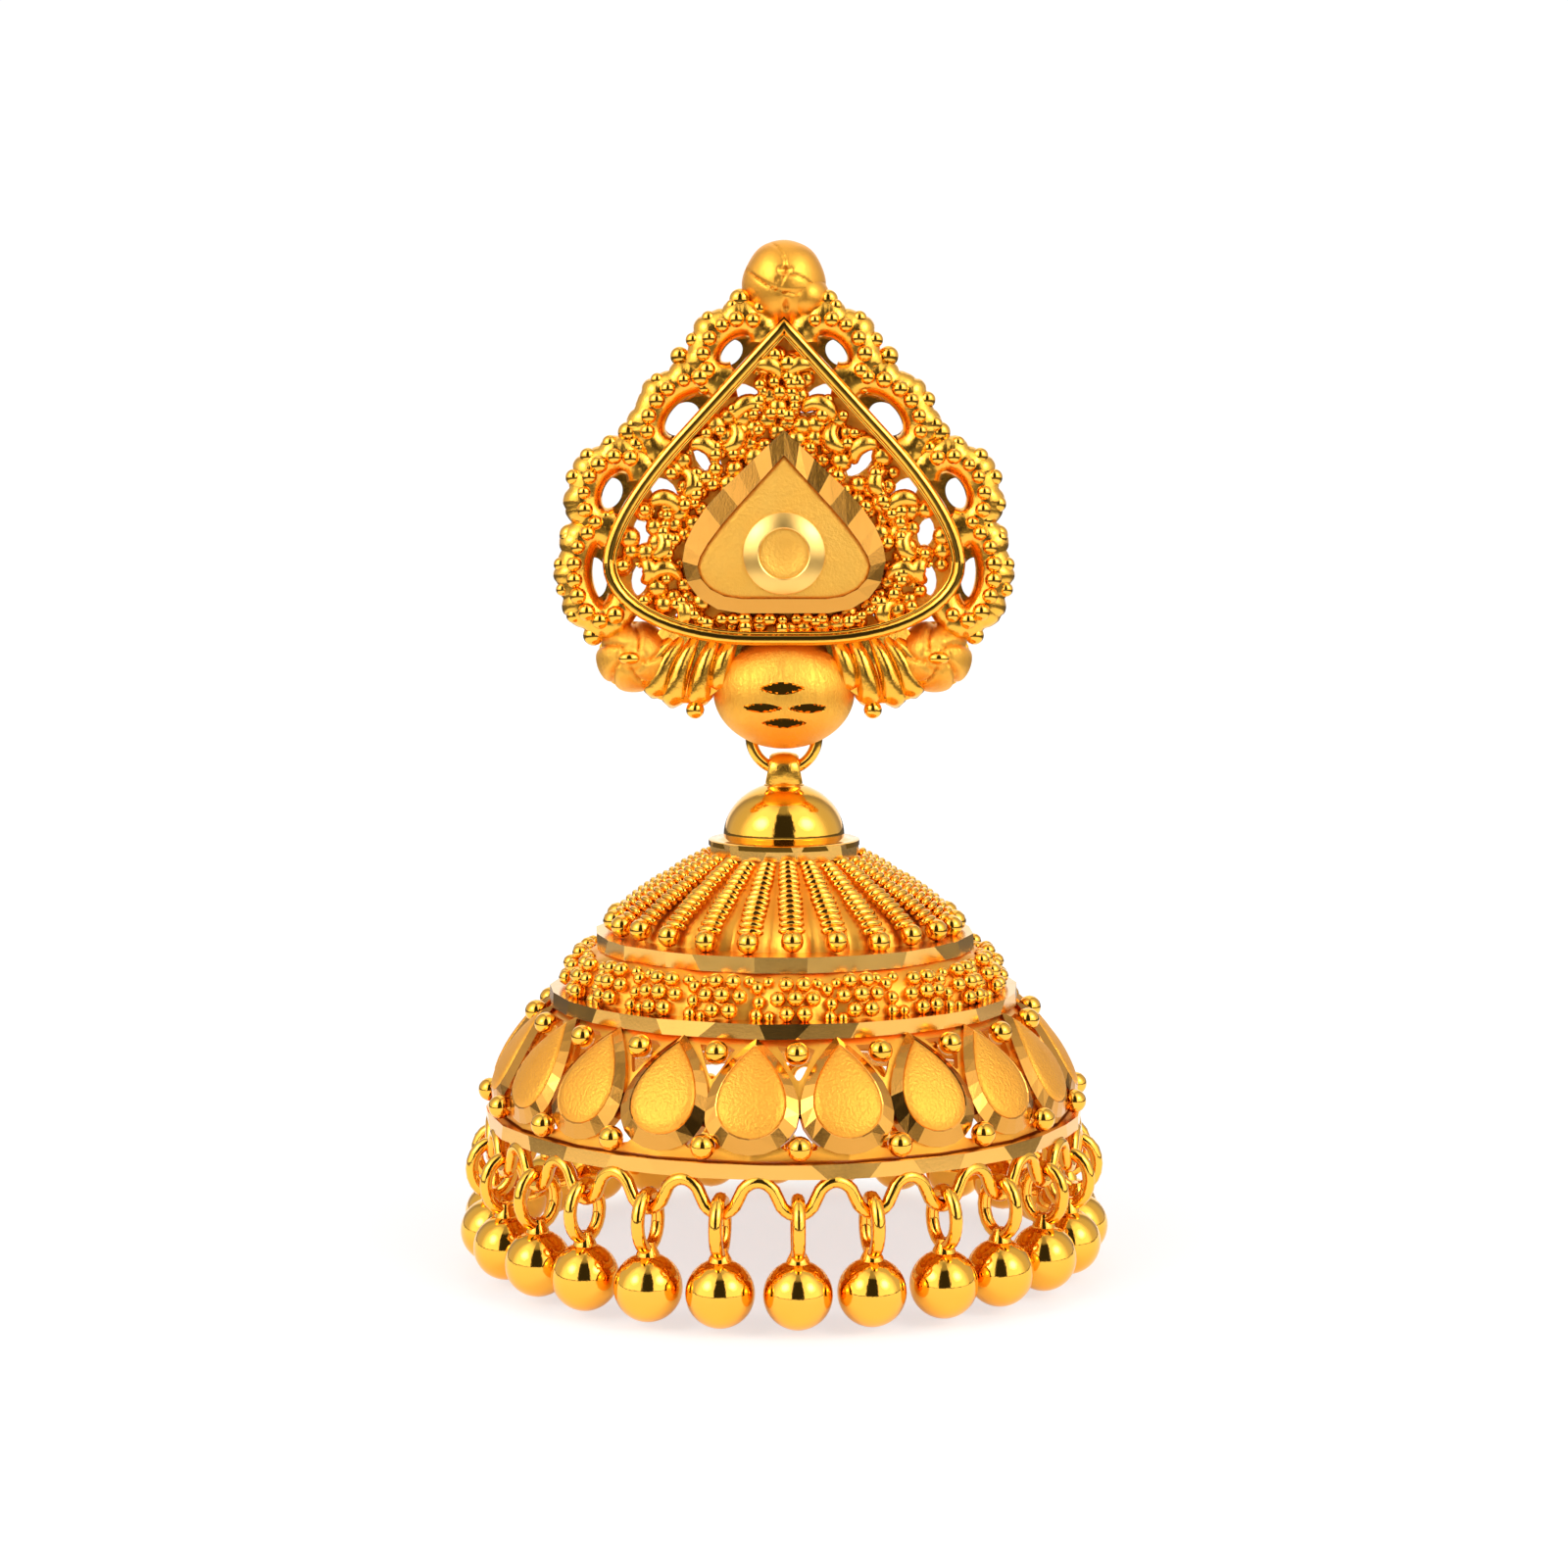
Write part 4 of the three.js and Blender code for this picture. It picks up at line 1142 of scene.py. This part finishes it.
def scrollTube(path, closed, centre):
    # A fat tube, crimped along its outer side and grooved across.
    half, deep = border["half"], border["deep"]
    run = 0
    rows = []
    for i, (x, z) in enumerate(path):
        before = path[i - 1] if i or closed else path[0]
        after = path[(i + 1) % len(path)] if i < len(path) - 1 or closed else path[-1]
        tangent = Vector((after[0] - before[0], 0, after[1] - before[1])).normalized()
        out = Vector((x - centre[0], 0, z - centre[1]))
        out = (out - tangent * out.dot(tangent)).normalized()
        if i:
            run += math.dist(path[i - 1], path[i])
        wave = math.sin(math.tau * run / border["pitch"])
        dip = (1 - abs(math.sin(math.pi * run / border["chasePitch"]))) ** 2
        row = []
        for turn in turns(border["sides"]):
            across, lift = math.cos(turn), math.sin(turn)
            swell = 1 + border["crimp"] * wave * max(0, across + 0.15) / half
            swell -= border["chase"] * dip * max(0, across + 0.1)
            place = Vector((x, border["y"], z)) + out * (across * half * swell)
            row.append(place + Vector((0, -lift * deep * swell, 0)))
        rows.append(row)
    return skin(rows, closedRows=closed, ends=not closed)


def scrollBeads(path, centre, clear, draw):
    grains = []
    for offset, size, step, y, share in border["rows"]:
        distance = step * 0.5
        run = 0
        for a, b in zip(path, path[1:]):
            run += math.dist(a, b)
            if run < distance:
                continue
            distance += step
            place = Vector(b) + (Vector(b) - Vector(centre)).normalized() * offset
            if draw.random() < share and not isInside(place, clear):
                beadY = y + draw.uniform(-border["rowDrift"], border["rowDrift"])
                grains.append(grain((place.x, beadY, place.y), size * draw.uniform(*border["rowSizes"])))
    return grains


def makeBorder():
    shapes = []
    grains = []
    draw = random.Random(border["seed"])
    wall = spadeLine(spade, "middle", border["wall"])
    clear = spadeLine(spade, "middle", border["clear"])
    sagX, sagZ = border["sag"]
    loops = [(loop, side, (-side * loop[0], loop[1])) for loop in border["loops"] for side in (-1, 1)]
    for loop, side, centre in loops:
        path, closed = shownRun(loopLine(*loop, side, steps=120), wall)
        shapes.append(scrollTube(path, closed, centre))
        grains += scrollBeads(path, centre, clear, draw)
    for loop, side, centre in loops:
        line = loopLine(*loop, side, steps=40)
        spot = Vector(centre)
        hole = [tuple(spot + Vector((side * sagX, sagZ)) + (Vector(place) - spot) * border["hole"]) for place in line]
        shapes.append(pierced(line, [hole], border["plateBack"], border["plateFront"]))
    piece("stud", "scroll_border", joined(*shapes), soft, crease=60)
    grains += [grain((side * x, border["edgeY"], z), border["edgeBead"]) for x, z in border["edge"] for side in (-1, 1)]
    beadPiece("stud", "border_beads", grains, uneven=0.08, seed=14)


makeBorder()
print("border ready")


# the stud: plaque

# Frame and panel are levels of (share from the outer edge to the inner one, y). Ring and disc
# are turned profiles of (radius, y).
plaque = {
    "frame": [(0, 0), (0, -2.24), (1, -2.5), (1, -0.6)], "steps": (0.004, 0.03), "seed": 5,
    "panel": [(0.98, 0), (0.98, -2.24), (1.12, -2.36), (1.3, -2.39)], "bossZ": -1.85,
    "ring": [(1.86, -1.8), (1.86, -2.48), (1.8, -2.54), (1.2, -2.74), (1.14, -2.7), (1.12, -1.8)],
    "disc": [(0, -1.7), (1.16, -1.7), (1.15, -2.58), (1.0, -2.6), (0.86, -2.56), (0.6, -2.48), (0.3, -2.44),
             (0, -2.43)]}


def plaqueLevels(detail, levels):
    pairs = list(zip(spadeLine(plaqueEdge, detail), spadeLine(plaqueInner, detail)))
    return [([(lerp(x1, x2, share), lerp(z1, z2, share)) for (x1, z1), (x2, z2) in pairs], y) for share, y in levels]


def makePlaque():
    draw = random.Random(plaque["seed"])
    points, faces = layered(plaqueLevels("cut", plaque["frame"]))
    count = len(points) // len(plaque["frame"])
    # Neighbouring facets step in and out a little.
    for i in range(count):
        step = draw.uniform(*plaque["steps"]) * (-1) ** i
        for row in (1, 2):
            x, y, z = points[row * count + i]
            points[row * count + i] = (x, y + step, z)
    piece("plain", "plaque_frame", (points, faces), shadedCut, flat=True)
    panel = layered(plaqueLevels("smooth", plaque["panel"]), solid=True)
    # The panel takes the lighter copy of the matte gold, painted light.
    piece("plain", "plaque_panel", panel, litMatte, crease=60)

    def boss(profile, steps, closed=False):
        points, faces = revolve(profile, steps, closed, axisY=0)
        return [(x, z, y + plaque["bossZ"]) for x, y, z in points], faces

    # The ring takes the paler, creamier gold, a painted highlight.
    piece("plain", "plaque_ring", boss(plaque["ring"], steps=64, closed=True), creamHighlight, crease=30)
    # The disc takes the same lighter copy of the matte gold, painted light.
    piece("plain", "plaque_disc", boss(plaque["disc"], steps=48), litMatte, crease=60)


makePlaque()
print("plaque ready")


# the stud: buds, flutes and foot bead

def blob(centre, radii, around, rows, push=None):
    # A rounded body with its poles along X, half as deep at the back. Radii are (x, y, z).
    cx, cy, cz = centre
    points = []
    rings = []
    for k in range(rows + 1):
        theta = math.pi * k / rows
        start = len(points)
        if k in (0, rows):
            points.append((cx - radii[0] * math.cos(theta), cy, cz))
        else:
            for phi in turns(around):
                x, y, z = -math.cos(theta), -math.sin(theta) * math.cos(phi), math.sin(theta) * math.sin(phi)
                deep = radii[1] if y < 0 else radii[1] / 2
                place = Vector((cx + x * radii[0], cy + y * deep, cz + z * radii[2]))
                points.append(push(place, Vector((x, y, z))) if push else place)
        rings.append(list(range(start, len(points))))
    return points, bridge(rings)


# Cuts are lens-shaped flats: x, z, half length, half height.
footBead = {
    "centre": (0, 0.05, -8.25), "radii": (3.28, 2.75, 2.66), "around": 300, "rows": 110,
    "tilt": 7, "lean": 0.03, "deep": 0.26, "snap": 0.029, "shine": 0.012,
    "cuts": [(-0.1, -7.95, 1.07, 0.29), (-1.02, -8.86, 0.96, 0.22), (1.15, -8.88, 1.02, 0.22), (0, -9.57, 1.07, 0.24)]}


def beadFront(x, z):
    cx, cy, cz = footBead["centre"]
    a, b, c = footBead["radii"]
    return cy - b * math.sqrt(max(0, 1 - ((x - cx) / a) ** 2 - ((z - cz) / c) ** 2))


def makeFootBead():
    slope = math.tan(math.radians(footBead["tilt"]))

    def push(place, direction):
        if direction.y > -0.3:
            return place
        for x, z, half, high in footBead["cuts"]:
            if abs(place.x - x) >= half:
                continue
            reach = high * (1 - ((place.x - x) / half) ** 2)
            for edge in (z - reach, z + reach):
                if abs(place.z - edge) < footBead["snap"]:
                    return Vector((place.x, beadFront(place.x, edge), edge))
            share = (place.z - (z - reach)) / (2 * reach)
            if 0 < share < 1:
                floor = beadFront(x, z - high) + footBead["deep"] + (place.z - z) * slope
                floor += max(-1, min(1, x)) * (place.x - x) * footBead["lean"]
                place = Vector((place.x, max(place.y, floor), place.z))
        return place

    body = blob(footBead["centre"], footBead["radii"], footBead["around"], footBead["rows"], push)
    obj = makeObject("foot_bead", body, brushed, crease=28)
    obj.data.materials.append(polished)
    for face in obj.data.polygons:
        x, y, z = face.center / mm
        if y < -1 and y > beadFront(x, z) + footBead["shine"]:
            face.material_index = 1
    finishPiece(obj, "bright")


makeFootBead()

buds = {
    "top": {"centre": (0, -0.1, 10.35), "radii": (1.9, 1.95, 2.05), "deep": 0.22,
            "cuts": [(0.05, 10.9, 0.36, 0.2), (0.1, 9.35, 0.16, 0.32)],
            "lobe": ((0.95, -0.35, 9.75), (1.15, 1.5, 1.1))},
    "side": {"centre": (6.95, -0.2, -6.6), "radii": (1.75, 1.95, 1.68), "dent": 0.26, "rim": (0.62, 0.14, 0.1),
             "heart": (7.05, -2.15, -6.6), "heartSize": (0.5, 0.4, 0.31)}}


def groove(value, width):
    # How deep a line is cut at this distance from its middle, from 0 to 1.
    return max(0, 1 - abs(value) / width) ** 0.8


def makeTopBud():
    bud = buds["top"]
    cx, cy, cz = bud["centre"]

    def push(place, direction):
        # Two curved folds, a fine one higher up, and small cuts.
        u, v = place.x - cx, place.z - cz
        depth = 0
        if direction.y < 0.2:
            depth += 0.16 * groove(v + 0.42 + 0.22 * u - 0.25 * u * u, 0.1)
            if u > -0.4:
                depth += 0.1 * groove(math.hypot(u - 0.35, v + 0.95) - 1.25, 0.08)
        if direction.y < 0:
            if v > -0.2:
                depth += 0.08 * groove(math.hypot(u + 1.2, v - 0.7) - 1.3, 0.06)
            for x, z, half, high in bud["cuts"]:
                depth += bud["deep"] * max(0, 1 - ((place.x - x) / half) ** 2 - ((place.z - z) / high) ** 2)
        swell = 1 + 0.02 * math.sin(3.1 * u + 1.2) * math.cos(2.3 * v)
        return Vector((cx + u * swell, place.y + depth, cz + v * swell))

    body = blob(bud["centre"], bud["radii"], around=120, rows=72, push=push)
    piece("bright", "top_bud", joined(body, blob(*bud["lobe"], around=48, rows=28)), satin, crease=50)


def makeSideBud(side, label):
    bud = buds["side"]
    cx, cy, cz = side * bud["centre"][0], *bud["centre"][1:]
    rimReach, rimWidth, rimDeep = bud["rim"]

    def push(place, direction):
        # Five petals curling round a rim.
        u, v = (place.x - cx) * side, place.z - cz
        reach = math.hypot(u, v)
        petal = abs(math.sin(2.5 * (math.atan2(v, u) + 0.55 * reach)))
        dent = bud["dent"] * (1 - petal) ** 3 * min(1, reach / 0.7) if direction.y < 0.3 else 0
        rim = rimDeep * groove(reach - rimReach, rimWidth) if direction.y < 0 else 0
        return place - direction * (dent + rim)

    body = blob((cx, cy, cz), bud["radii"], around=96, rows=60, push=push)
    piece("bright", "side_bud_" + label, body, brushed, crease=50)
    x, y, z = bud["heart"]
    beadPiece("bright", "side_bud_heart_" + label, [grain((side * x, y, z), bud["heartSize"])], detail=4)


# Ridges run from (x, z) to (x, z); knobs are (x, z, size). The other side mirrors them.
flutes = {
    "ridges": [((2.3, -5.7), (3.0, -8.2)), ((3.15, -5.75), (4.0, -8.95)), ((4.1, -5.8), (5.2, -8.95)),
               ((4.8, -5.9), (6.05, -8.5)), ((5.35, -5.95), (6.7, -7.85))],
    "steps": 12, "half": 0.68, "deep": 1.05, "y": -0.3, "bow": (0.18, 0.25), "fall": 0.8,
    "fan": [(1.7, -5.4), (5.8, -5.4), (6.9, -7.4), (6.2, -8.4), (5.2, -8.75), (4.0, -8.75), (3.0, -8.2), (2.4, -7.4)],
    "fanFront": -0.85, "fanTop": -1.02, "knobs": [(4.1, -9.05, 0.42)], "knobY": -0.7}


def makeFlutes():
    shapes = []
    grains = []
    steps, fall = flutes["steps"], flutes["fall"]
    bowX, bowY = flutes["bow"]
    for side in (-1, 1):
        for (x1, z1), (x2, z2) in flutes["ridges"]:
            path = []
            widths = []
            for k in range(steps + 1):
                t = k / steps
                bow = math.sin(math.pi * t)
                path.append((side * (lerp(x1, x2, t) + bowX * bow), flutes["y"] - bowY * bow, lerp(z1, z2, t)))
                # The ridge widens down to its rounded end.
                end = (t - fall) / 0.2
                half = flutes["half"] * (0.55 + 0.6 * t if t < fall else 1.03 * math.cos(end * 1.35))
                deep = flutes["deep"] * (0.8 + 0.15 * bow) * (1 if t < fall else math.cos(end * 1.3))
                widths.append((half, deep))
            shapes.append(sweep(path, widths, sides=14))
        fan = [(side * x, z) for x, z in flutes["fan"]]
        top = [(x * 0.97, z + 0.1) for x, z in fan]
        shapes.append(layered([(fan, 0), (fan, flutes["fanFront"]), (top, flutes["fanTop"])], solid=True))
        grains += [grain((side * x, flutes["knobY"], z), size) for x, z, size in flutes["knobs"]]
    piece("stud", "flutes", joined(*shapes), soft, crease=60)
    beadPiece("stud", "flute_knobs", grains, material=cast, uneven=0.03, seed=6)


makeTopBud()
for side, label in ((-1, "left"), (1, "right")):
    makeSideBud(side, label)
makeFlutes()
print("buds and flutes ready")


# the stud: eyelet, post and nut

eyelet = {"radius": 0.79, "wire": 0.25, "z": -8.72}


def makeEyelet():
    path = [(0, hangY + u, eyelet["z"] + v) for u, v in oval(40, eyelet["radius"], eyelet["radius"])]
    piece("stud", "eyelet", sweep(path, eyelet["wire"], sides=12, closed=True, up=(1, 0, 0)), polished, crease=60)


makeEyelet()
print("eyelet ready")

# The post and the nut are the CAD solids themselves.
for nodeName in ("ear_post", "screw_nut"):
    node = nodes[nodeName]
    if not node.hide_render:
        node.data.materials.clear()
        node.data.materials.append(polished)
